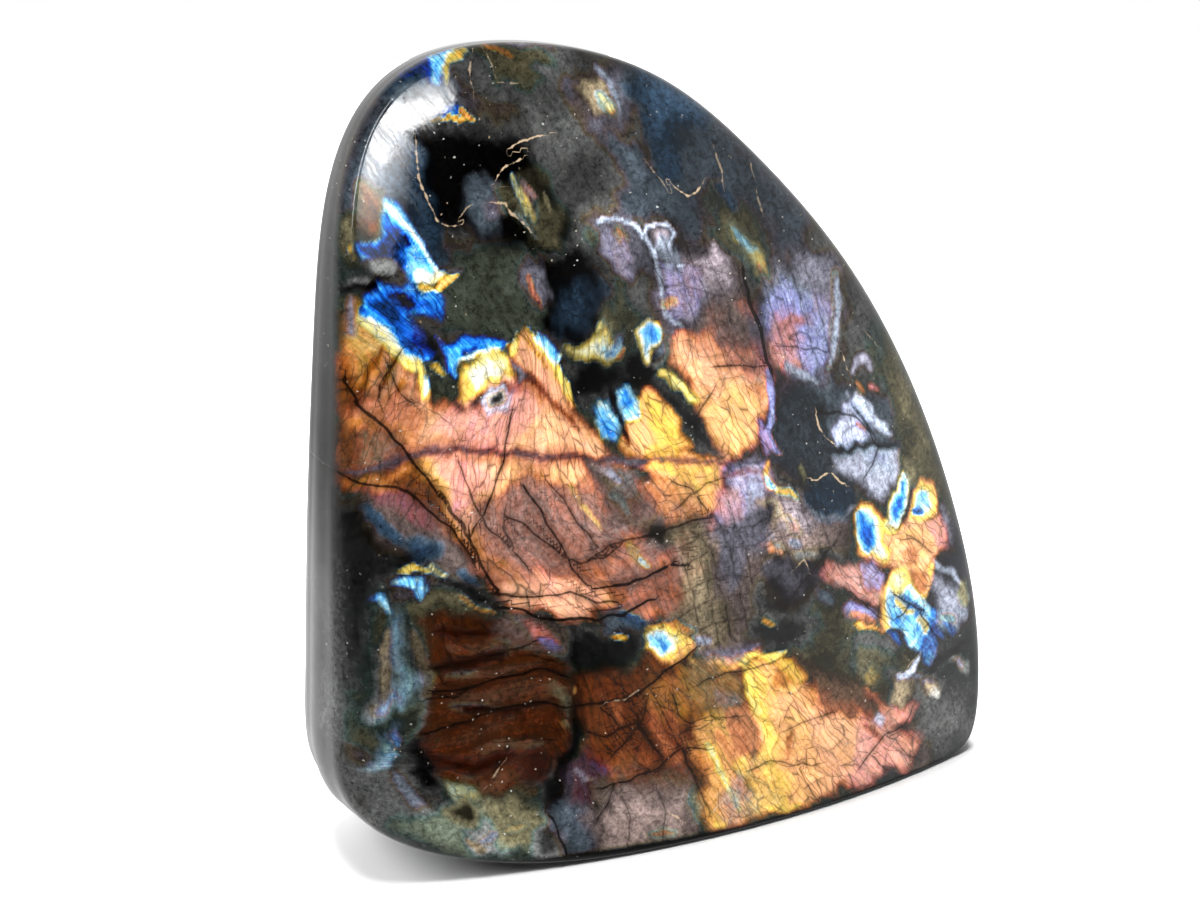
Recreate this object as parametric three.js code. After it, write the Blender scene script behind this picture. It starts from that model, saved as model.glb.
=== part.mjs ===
// Labradorite freeform: one upright slab of feldspar, sawn flat underneath and polished all round.
// Millimetres, +Z up, front face towards -Y. The origin is on the table, under the middle of the stone.
//
// The body is lofted through closed rings. Each ring follows the same outline, a closed cubic B-spline drawn in
// the XZ plane. Going from front to back the rings make the domed front face, its rounded rim, the side wall,
// the rounded back rim and the domed back face.
import * as THREE from "three";

// Control points of the outline, clockwise as seen from the front, starting halfway up the right side:
// x, z, radius of the front rim, radius of the back rim. Those with z = 0 give the sawn base.
const OUTLINE = [
  // right side
  [56, 55.5, 5, 8],
  [64.5, 30.5, 4.5, 7],
  [65.5, 10.5, 3, 4],
  // base
  [62.5, 0, 1.5, 2],
  [51.5, 0, 1.2, 1.5],
  [27.5, 0, 1.2, 1.5],
  [3.5, 0, 1.2, 1.5],
  [-15.5, 0, 1.2, 1.5],
  [-35, 0, 2, 3],
  // soft lower left corner
  [-55.5, 4, 4.5, 6],
  [-66.5, 13, 6.5, 8],
  // left side
  [-65.5, 30.5, 6.5, 9],
  [-64.5, 58, 5, 8],
  [-62, 88.5, 3, 5],
  [-60.5, 114.5, 2, 4],
  // rounded top
  [-53.5, 130.5, 1.8, 3.5],
  [-40, 137.5, 1.8, 3.5],
  [-21, 137, 2.5, 4.5],
  // long sloping shoulder
  [-3.5, 131.5, 3.5, 5.5],
  [12, 118.5, 4, 6.5],
  [29, 102, 4.5, 7],
  [44, 80.5, 5, 8],
];

// Both faces are shallow domes, given by their depth over this centre. At REACH to its side or above it the
// face has moved by its lean plus its bow. Negative y is towards the front.
const FACE_CENTRE = { x: 5, z: 60 };
const REACH = { x: 60, z: 70 };
const FRONT = { depth: -19, leanX: 0.3, leanZ: 6.9, bowX: 9, bowZ: 3 };
const BACK = { depth: 19.5, leanX: -1.3, leanZ: -6.2, bowX: -4.2, bowZ: -2.8 };

const WALL_SWELL = 1.5; // outward swell of the side wall, halfway between the rims
const SWELL_START = 12; // height at which the swell is full, so that the base stays flat
const SWELL_WALL = 20; // wall depth that has the full swell

const STEPS_PER_SPAN = 5; // ring points between two control points
const CAP_RINGS = 8;
const FRONT_RIM_RINGS = 5;
const WALL_RINGS = 8;
const BACK_RIM_RINGS = 6;

// One point of the outline: t runs from 0 to 1 between control points i and i + 1 of a uniform cubic B-spline.
function outlinePoint(i, t) {
  const weights = [
    (1 - t) ** 3 / 6,
    (3 * t ** 3 - 6 * t ** 2 + 4) / 6,
    (-3 * t ** 3 + 3 * t ** 2 + 3 * t + 1) / 6,
    t ** 3 / 6,
  ];
  const count = OUTLINE.length;
  const [x, z, frontRadius, backRadius] = [0, 1, 2, 3].map((column) =>
    weights.reduce(
      (sum, w, k) => sum + w * OUTLINE[(i + k - 1 + count) % count][column],
      0,
    ),
  );
  return { x, z, frontRadius, backRadius };
}

// The whole outline, each point with its inward normal.
function outlinePoints() {
  const points = OUTLINE.flatMap((_, i) =>
    Array.from({ length: STEPS_PER_SPAN }, (_, k) =>
      outlinePoint(i, k / STEPS_PER_SPAN),
    ),
  );
  points.forEach((point, i) => {
    const before = points.at(i - 1);
    const after = points[(i + 1) % points.length];
    const length = Math.hypot(after.x - before.x, after.z - before.z);
    point.inX = (after.z - before.z) / length;
    point.inZ = -(after.x - before.x) / length;
  });
  return points;
}

// Depth of a face at x, z.
function depthAt(face, x, z) {
  const u = (x - FACE_CENTRE.x) / REACH.x;
  const v = (z - FACE_CENTRE.z) / REACH.z;
  return (
    face.depth +
    face.leanX * u +
    face.leanZ * v +
    face.bowX * u ** 2 +
    face.bowZ * v ** 2
  );
}

// A point moved inwards from the outline by inset, as x and z.
const insetFrom = (point, inset) => ({
  x: point.x + point.inX * inset,
  z: point.z + point.inZ * inset,
});

// A point of a face: share is 0 at the face's centre and 1 where its rounded rim starts.
function facePoint(face, point, radius, share) {
  const rim = insetFrom(point, radius);
  const x = THREE.MathUtils.lerp(FACE_CENTRE.x, rim.x, share);
  const z = THREE.MathUtils.lerp(FACE_CENTRE.z, rim.z, share);
  return [x, depthAt(face, x, z), z];
}

// A point of a rounded rim, a quarter circle: share is 0 at the face and 1 at the side wall.
function rimPoint(face, point, radius, share) {
  const angle = (Math.PI / 2) * (1 - share);
  const { x, z } = insetFrom(point, radius * (1 - Math.cos(angle)));
  const sunk = radius * (1 - Math.sin(angle));
  return [x, depthAt(face, x, z) - Math.sign(face.depth) * sunk, z];
}

// A point of the side wall, share 0 at the front rim and 1 at the back rim.
function wallPoint(point, share) {
  const start = depthAt(FRONT, point.x, point.z) + point.frontRadius;
  const end = depthAt(BACK, point.x, point.z) - point.backRadius;
  const raised = THREE.MathUtils.clamp(point.z / SWELL_START, 0, 1) ** 2;
  const room = THREE.MathUtils.clamp((end - start) / SWELL_WALL, 0, 1) ** 2;
  const profile = (4 * share * (1 - share)) ** 2;
  const { x, z } = insetFrom(point, -WALL_SWELL * raised * room * profile);
  return [x, THREE.MathUtils.lerp(start, end, share), z];
}

const frontFace = (p, share) => facePoint(FRONT, p, p.frontRadius, share);
const frontRim = (p, share) => rimPoint(FRONT, p, p.frontRadius, share);
const backRim = (p, share) => rimPoint(BACK, p, p.backRadius, share);
const backFace = (p, share) => facePoint(BACK, p, p.backRadius, share);

// Shares 1/count, 2/count ... 1 of one stretch of the loft.
const shares = (count) =>
  Array.from({ length: count }, (_, k) => (k + 1) / count);

function stoneGeometry() {
  const outline = outlinePoints();
  const rings = [
    ...shares(CAP_RINGS).map((s) => outline.map((p) => frontFace(p, s))),
    ...shares(FRONT_RIM_RINGS).map((s) => outline.map((p) => frontRim(p, s))),
    ...shares(WALL_RINGS).map((s) => outline.map((p) => wallPoint(p, s))),
    ...shares(BACK_RIM_RINGS).map((s) => outline.map((p) => backRim(p, 1 - s))),
    ...shares(CAP_RINGS)
      .slice(0, -1)
      .map((s) => outline.map((p) => backFace(p, 1 - s))),
  ];
  const count = outline.length;
  const positions = [
    frontFace(outline[0], 0),
    ...rings.flat(),
    backFace(outline[0], 0),
  ].flat();
  const at = (ring, i) => 1 + ring * count + (i % count);
  const last = 1 + rings.length * count;
  const index = [];
  for (let i = 0; i < count; i++) {
    index.push(0, at(0, i + 1), at(0, i));
    for (let ring = 0; ring < rings.length - 1; ring++) {
      const [a, b] = [at(ring, i), at(ring, i + 1)];
      const [c, d] = [at(ring + 1, i), at(ring + 1, i + 1)];
      index.push(a, b, c, b, d, c);
    }
    index.push(last, at(rings.length - 1, i), at(rings.length - 1, i + 1));
  }
  const geometry = new THREE.BufferGeometry();
  geometry.setAttribute(
    "position",
    new THREE.Float32BufferAttribute(positions, 3),
  );
  geometry.setIndex(index);
  return geometry;
}

// Stands the stone on z = 0 with the middle of its box over the origin.
function standOverOrigin(geometry) {
  geometry.computeBoundingBox();
  const { min, max } = geometry.boundingBox;
  geometry.translate(-(min.x + max.x) / 2, -(min.y + max.y) / 2, -min.z);
  geometry.computeVertexNormals();
  return geometry;
}

const stone = new THREE.Mesh(
  standOverOrigin(stoneGeometry()),
  new THREE.MeshStandardMaterial({
    color: 0x3d4145,
    roughness: 0.2,
    metalness: 0,
  }),
);
stone.name = "labradorite_freeform";

const part = new THREE.Group();
part.add(stone);

export default part;
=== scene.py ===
"""Labradorite freeform: a polished, upright stone with its flash, cracks and haze, on a pale floor."""

import math
from collections import namedtuple
from functools import partial

import bpy
import numpy as np
from bpy.props import FloatProperty, FloatVectorProperty, PointerProperty
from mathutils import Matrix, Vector


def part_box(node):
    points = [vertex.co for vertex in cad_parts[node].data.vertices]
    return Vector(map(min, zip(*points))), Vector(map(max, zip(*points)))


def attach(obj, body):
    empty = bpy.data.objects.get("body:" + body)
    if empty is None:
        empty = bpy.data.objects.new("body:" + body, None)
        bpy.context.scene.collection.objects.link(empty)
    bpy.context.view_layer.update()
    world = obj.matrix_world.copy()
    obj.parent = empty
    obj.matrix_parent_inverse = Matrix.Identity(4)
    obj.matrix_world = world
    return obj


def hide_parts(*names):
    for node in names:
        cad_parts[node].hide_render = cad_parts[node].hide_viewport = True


bl_info = {
    "name": "Labradorite freeform",
    "version": (1, 0, 0),
    "blender": (4, 5, 0),
    "location": "3D View > Sidebar > Stone",
    "description": "Dresses the labradorite freeform and sets up its studio",
    "category": "Object",
}

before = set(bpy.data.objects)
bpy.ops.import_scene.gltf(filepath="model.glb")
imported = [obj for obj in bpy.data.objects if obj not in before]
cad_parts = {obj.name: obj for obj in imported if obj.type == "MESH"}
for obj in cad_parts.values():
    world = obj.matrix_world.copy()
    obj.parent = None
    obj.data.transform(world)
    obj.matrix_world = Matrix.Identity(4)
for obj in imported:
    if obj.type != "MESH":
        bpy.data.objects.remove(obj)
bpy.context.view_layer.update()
NODE = "labradorite_freeform"
STONE_LO, STONE_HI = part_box(NODE)
MM = 0.001


def linear(colour):
    """An sRGB hex colour as linear red, green, blue and alpha."""
    values = [int(colour[i : i + 2], 16) / 255 for i in (1, 3, 5)]
    return tuple(
        v / 12.92 if v <= 0.04045 else ((v + 0.055) / 1.055) ** 2.4 for v in values
    ) + (1.0,)


# --------------------
# Form
# --------------------

# Control points of the outline in millimetres, clockwise as seen from the front, starting halfway up the
# right side: x, z, radius of the front rim, radius of the back rim. It is the outline of the CAD solid.
OUTLINE = (
    (56, 55.5, 5, 8),
    (64.5, 30.5, 4.5, 7),
    (65.5, 10.5, 3, 4),
    (62.5, 0, 1.5, 2),
    (51.5, 0, 1.2, 1.5),
    (27.5, 0, 1.2, 1.5),
    (3.5, 0, 1.2, 1.5),
    (-15.5, 0, 1.2, 1.5),
    (-35, 0, 2, 3),
    (-55.5, 4, 4.5, 6),
    (-66.5, 13, 6.5, 8),
    (-65.5, 30.5, 6.5, 9),
    (-64.5, 58, 5, 8),
    (-62, 88.5, 3, 5),
    (-60.5, 114.5, 2, 4),
    (-53.5, 130.5, 1.8, 3.5),
    (-40, 137.5, 1.8, 3.5),
    (-21, 137, 2.5, 4.5),
    (-3.5, 131.5, 3.5, 5.5),
    (12, 118.5, 4, 6.5),
    (29, 102, 4.5, 7),
    (44, 80.5, 5, 8),
)
# Both faces are shallow domes: depth over the centre, and lean and bow along x and z over the reach, in
# millimetres.
FACE_CENTRE = (5, 60)
REACH = (60, 70)
Dome = namedtuple("Dome", "depth lean_x lean_z bow_x bow_z")
FRONT = Dome(-19, 0.3, 6.9, 9, 3)
BACK = Dome(19.5, -1.3, -6.2, -4.2, -2.8)
WALL_SWELL = 1.5  # outward swell of the side wall, halfway between the rims
SWELL_START = 12  # height at which the swell is full, so that the base stays flat
SWELL_WALL = 20  # depth of wall that has the full swell

# Where the four sides of a face's net meet on the outline: lower left, lower right, upper right, upper left.
NET_CORNERS = ((-62, 9), (63, 4), (18, 113), (-57, 125))
FRONT_STEPS = 252  # net steps along each side of the front face, about 0.45 mm apart
BACK_STEPS = FRONT_STEPS // 2
RIM_RINGS = 6
WALL_RINGS = 10
OUTLINE_SAMPLES = 200  # samples on each span while the outline is measured


def outline_curve():
    """The closed uniform cubic B-spline of the control points, anticlockwise as seen from the front, with its
    inward normal: columns x, z, front radius, back radius, normal x, normal z."""
    control = np.array(OUTLINE, float)
    count = len(control)
    along = np.arange(count * OUTLINE_SAMPLES) / OUTLINE_SAMPLES
    span = np.floor(along).astype(int)
    t = (along - span)[:, None]
    weights = (
        (1 - t) ** 3 / 6,
        (3 * t**3 - 6 * t**2 + 4) / 6,
        (-3 * t**3 + 3 * t**2 + 3 * t + 1) / 6,
        t**3 / 6,
    )
    curve = sum(w * control[(span + k - 1) % count] for k, w in enumerate(weights))
    step = np.roll(curve[:, :2], -1, axis=0) - np.roll(curve[:, :2], 1, axis=0)
    step /= np.linalg.norm(step, axis=1, keepdims=True)
    inward = np.stack([step[:, 1], -step[:, 0]], axis=1)
    return np.hstack([curve, inward])[::-1]


def even_outline(steps):
    """The outline parted at the net's corners, each side in equal steps along its length: 4 * steps rows."""
    curve = outline_curve()
    starts = [int(np.argmin(np.hypot(curve[:, 0] - x, curve[:, 1] - z))) for x, z in NET_CORNERS]
    curve = np.roll(curve, -starts[0], axis=0)
    starts = [(start - starts[0]) % len(curve) for start in starts] + [len(curve)]
    curve = np.vstack([curve, curve[:1]])
    length = np.cumsum(np.hypot(*np.diff(curve[:, :2], axis=0, prepend=curve[:1, :2]).T))
    targets = np.concatenate(
        [np.linspace(length[a], length[b], steps, endpoint=False) for a, b in zip(starts, starts[1:])]
    )
    return np.stack([np.interp(targets, length, column) for column in curve.T], axis=1)


def dome(face, x, z):
    """Depth of a face: depth + lean * reach share + bow * reach share squared, along x and along z."""
    u = (x - FACE_CENTRE[0]) / REACH[0]
    v = (z - FACE_CENTRE[1]) / REACH[1]
    return face.depth + face.lean_x * u + face.lean_z * v + face.bow_x * u**2 + face.bow_z * v**2


def net(border, steps):
    """Points x, z inside a closed border of 4 * steps points. It is a Coons patch: the sum of both pairs of
    opposite sides, each drawn across, less the bilinear sheet through the four corners."""
    bottom, right, top, left = (
        np.vstack([border[i * steps : (i + 1) * steps], border[(i + 1) * steps % (4 * steps)]])
        for i in range(4)
    )
    top, left = top[::-1], left[::-1]
    u = np.linspace(0, 1, steps + 1)[None, :, None]
    v = np.linspace(0, 1, steps + 1)[:, None, None]
    drawn_up = (1 - v) * bottom[None] + v * top[None]
    drawn_across = (1 - u) * left[:, None] + u * right[:, None]
    corners = (1 - v) * ((1 - u) * bottom[0] + u * bottom[-1]) + v * ((1 - u) * top[0] + u * top[-1])
    return drawn_up + drawn_across - corners


def net_border(steps):
    """Indices of a net's border points, in the border's own order."""
    index = np.arange((steps + 1) ** 2).reshape(steps + 1, steps + 1)
    return np.concatenate([index[0, :-1], index[:-1, -1], index[-1, :0:-1], index[:0:-1, 0]])


def net_quads(steps):
    """Quads of a net, four indices each."""
    index = np.arange((steps + 1) ** 2).reshape(steps + 1, steps + 1)
    return np.stack([index[:-1, :-1], index[:-1, 1:], index[1:, 1:], index[1:, :-1]], axis=-1).reshape(-1, 4)


def rim_ring(face, edge, radius, angle):
    """One ring of a rounded rim, a quarter circle: angle is 90 degrees at the face and 0 at the side wall."""
    inset = radius * (1 - math.cos(angle))
    x = edge[:, 0] + edge[:, 4] * inset
    z = edge[:, 1] + edge[:, 5] * inset
    sunk = radius * (1 - math.sin(angle))
    return np.stack([x, dome(face, x, z) - np.sign(face.depth) * sunk, z], axis=1)


def wall_ring(edge, share):
    """One ring of the side wall, which swells outwards by WALL_SWELL * (4 * share * (1 - share)) squared."""
    x, z = edge[:, 0], edge[:, 1]
    start = dome(FRONT, x, z) + edge[:, 2]
    end = dome(BACK, x, z) - edge[:, 3]
    raised = np.clip(z / SWELL_START, 0, 1) ** 2
    room = np.clip((end - start) / SWELL_WALL, 0, 1) ** 2
    swell = WALL_SWELL * raised * room * (4 * share * (1 - share)) ** 2
    return np.stack([x - edge[:, 4] * swell, start + (end - start) * share, z - edge[:, 5] * swell], axis=1)


def face_net(face, edge, radius, steps):
    """Points of a domed face, inside the ring where its rounded rim starts."""
    points = net(edge[:, :2] + edge[:, 4:] * radius[:, None], steps)
    x, z = points[..., 0], points[..., 1]
    return np.stack([x, dome(face, x, z), z], axis=-1).reshape(-1, 3)


def ring_quads(rings):
    """Quads between each ring of indices and the next, on rings of one length."""
    return np.concatenate(
        [np.stack([a, b, np.roll(b, -1), np.roll(a, -1)], axis=1) for a, b in zip(rings, rings[1:])]
    )


def stone_surface():
    """Vertices in millimetres and faces of the stone: front net, front rim, side wall, back rim, back net.
    Past the front rim each ring has half the points, so three triangles for each pair join the two."""
    fine = even_outline(FRONT_STEPS)
    coarse = fine[::2]
    quarter = math.pi / 2
    parts = [face_net(FRONT, fine, fine[:, 2], FRONT_STEPS)]
    rings = [net_border(FRONT_STEPS)]
    total = len(parts[0])

    def add_ring(points):
        nonlocal total
        parts.append(points)
        rings.append(np.arange(total, total + len(points)))
        total += len(points)

    for k in range(1, RIM_RINGS):
        add_ring(rim_ring(FRONT, fine, fine[:, 2], quarter * (1 - k / RIM_RINGS)))
    for k in range(WALL_RINGS + 1):
        add_ring(wall_ring(coarse, k / WALL_RINGS))
    for k in range(1, RIM_RINGS):
        add_ring(rim_ring(BACK, coarse, coarse[:, 3], quarter * k / RIM_RINGS))
    parts.append(face_net(BACK, coarse, coarse[:, 3], BACK_STEPS))
    rings.append(total + net_border(BACK_STEPS))

    a, b = rings[RIM_RINGS - 1], rings[RIM_RINGS]
    even, odd, after = a[::2], a[1::2], np.roll(a[::2], -1)
    joint = np.concatenate(
        [
            np.stack([even, b, odd], axis=1),
            np.stack([odd, b, np.roll(b, -1)], axis=1),
            np.stack([odd, np.roll(b, -1), after], axis=1),
        ]
    )
    quads = np.concatenate(
        [
            net_quads(FRONT_STEPS),
            ring_quads(rings[:RIM_RINGS]),
            ring_quads(rings[RIM_RINGS:]),
            total + net_quads(BACK_STEPS)[:, ::-1],
        ]
    )
    return np.concatenate(parts), quads, joint


# --------------------
# Growth pattern: flash domains, gaps, haze and cracks, drawn on the front face in millimetres
# --------------------

# What a domain of the crystal shows. Order runs through the interference colours from none, 0, by blue,
# white, gold, copper and violet to pearl, 1. A milky tone has no order: it keeps that of the domain below.
# Haze is the milkiness of the feldspar over the flash, and tint its colour, a place on HAZE_COLOURS.
Tone = namedtuple("Tone", "order haze tint")
TONES = {
    "navy": Tone(0.08, 0.006, 0.0),
    "blue": Tone(0.14, 0.006, 0.1),
    "azure": Tone(0.19, 0.01, 0.1),
    "sky": Tone(0.22, 0.02, 0.2),
    "ice": Tone(0.26, 0.02, 0.3),
    "foam": Tone(0.28, 0.06, 0.62),
    "white": Tone(0.33, 0.03, 0.5),
    "cream": Tone(0.38, 0.03, 0.6),
    "lemon": Tone(0.42, 0.02, 0.7),
    "gold": Tone(0.488, 0.01, 0.8),
    "amber": Tone(0.53, 0.01, 0.8),
    "orange": Tone(0.58, 0.01, 0.8),
    "peach": Tone(0.63, 0.02, 0.7),
    "bronze": Tone(0.61, 0.01, 0.95),
    "umber": Tone(0.56, 0.002, 0.92),
    "copper": Tone(0.68, 0.01, 0.8),
    "salmon": Tone(0.74, 0.02, 0.5),
    "pink": Tone(0.79, 0.03, 0.4),
    "plum": Tone(0.82, 0.01, 0.3),
    "violet": Tone(0.87, 0.04, 0.32),
    "lilac": Tone(0.93, 0.06, 0.28),
    "pearl": Tone(1.0, 0.1, 0.3),
    "void": Tone(None, 0.001, 0.5),
    "steel": Tone(None, 0.06, 0.0),
    "slate_and_sheen": Tone(None, 0.04, 0.25),
    "mist": Tone(None, 0.12, 0.32),
    "mauve": Tone(None, 0.06, 0.41),
    "blush": Tone(None, 0.12, 0.37),
    "teal": Tone(None, 0.06, 0.55),
    "sand": Tone(None, 0.05, 0.455),
    "aqua": Tone(0.25, 0.03, 0.56),
    "cool": Tone(None, 0.06, 0.3),
    "frost_and_glare": Tone(None, 0.5, 0.28),
    "ash": Tone(None, 0.04, 0.5),
    "fern": Tone(None, 0.04, 0.65),
    "olive": Tone(None, 0.03, 0.8),
    "rust": Tone(None, 0.03, 1.0),
}


# A mark is a patch with a closed outline when its width is 0, or else a streak of that width along a line.
Mark = namedtuple("Mark", "tone flash haze soft width points")


def patch(tone, flash, haze, soft, *points):
    """A closed domain: tone, flash strength, added haze, softness of its border, points of its outline. Under
    a milky tone, flash is instead the share that stays of the flash below."""
    return Mark(tone, flash, haze, soft, 0.0, points)


def streak(tone, flash, haze, width, *points):
    """A domain along a line: tone, flash strength, added haze, width, points of the line."""
    return Mark(tone, flash, haze, 0.6 * width, width, points)


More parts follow.
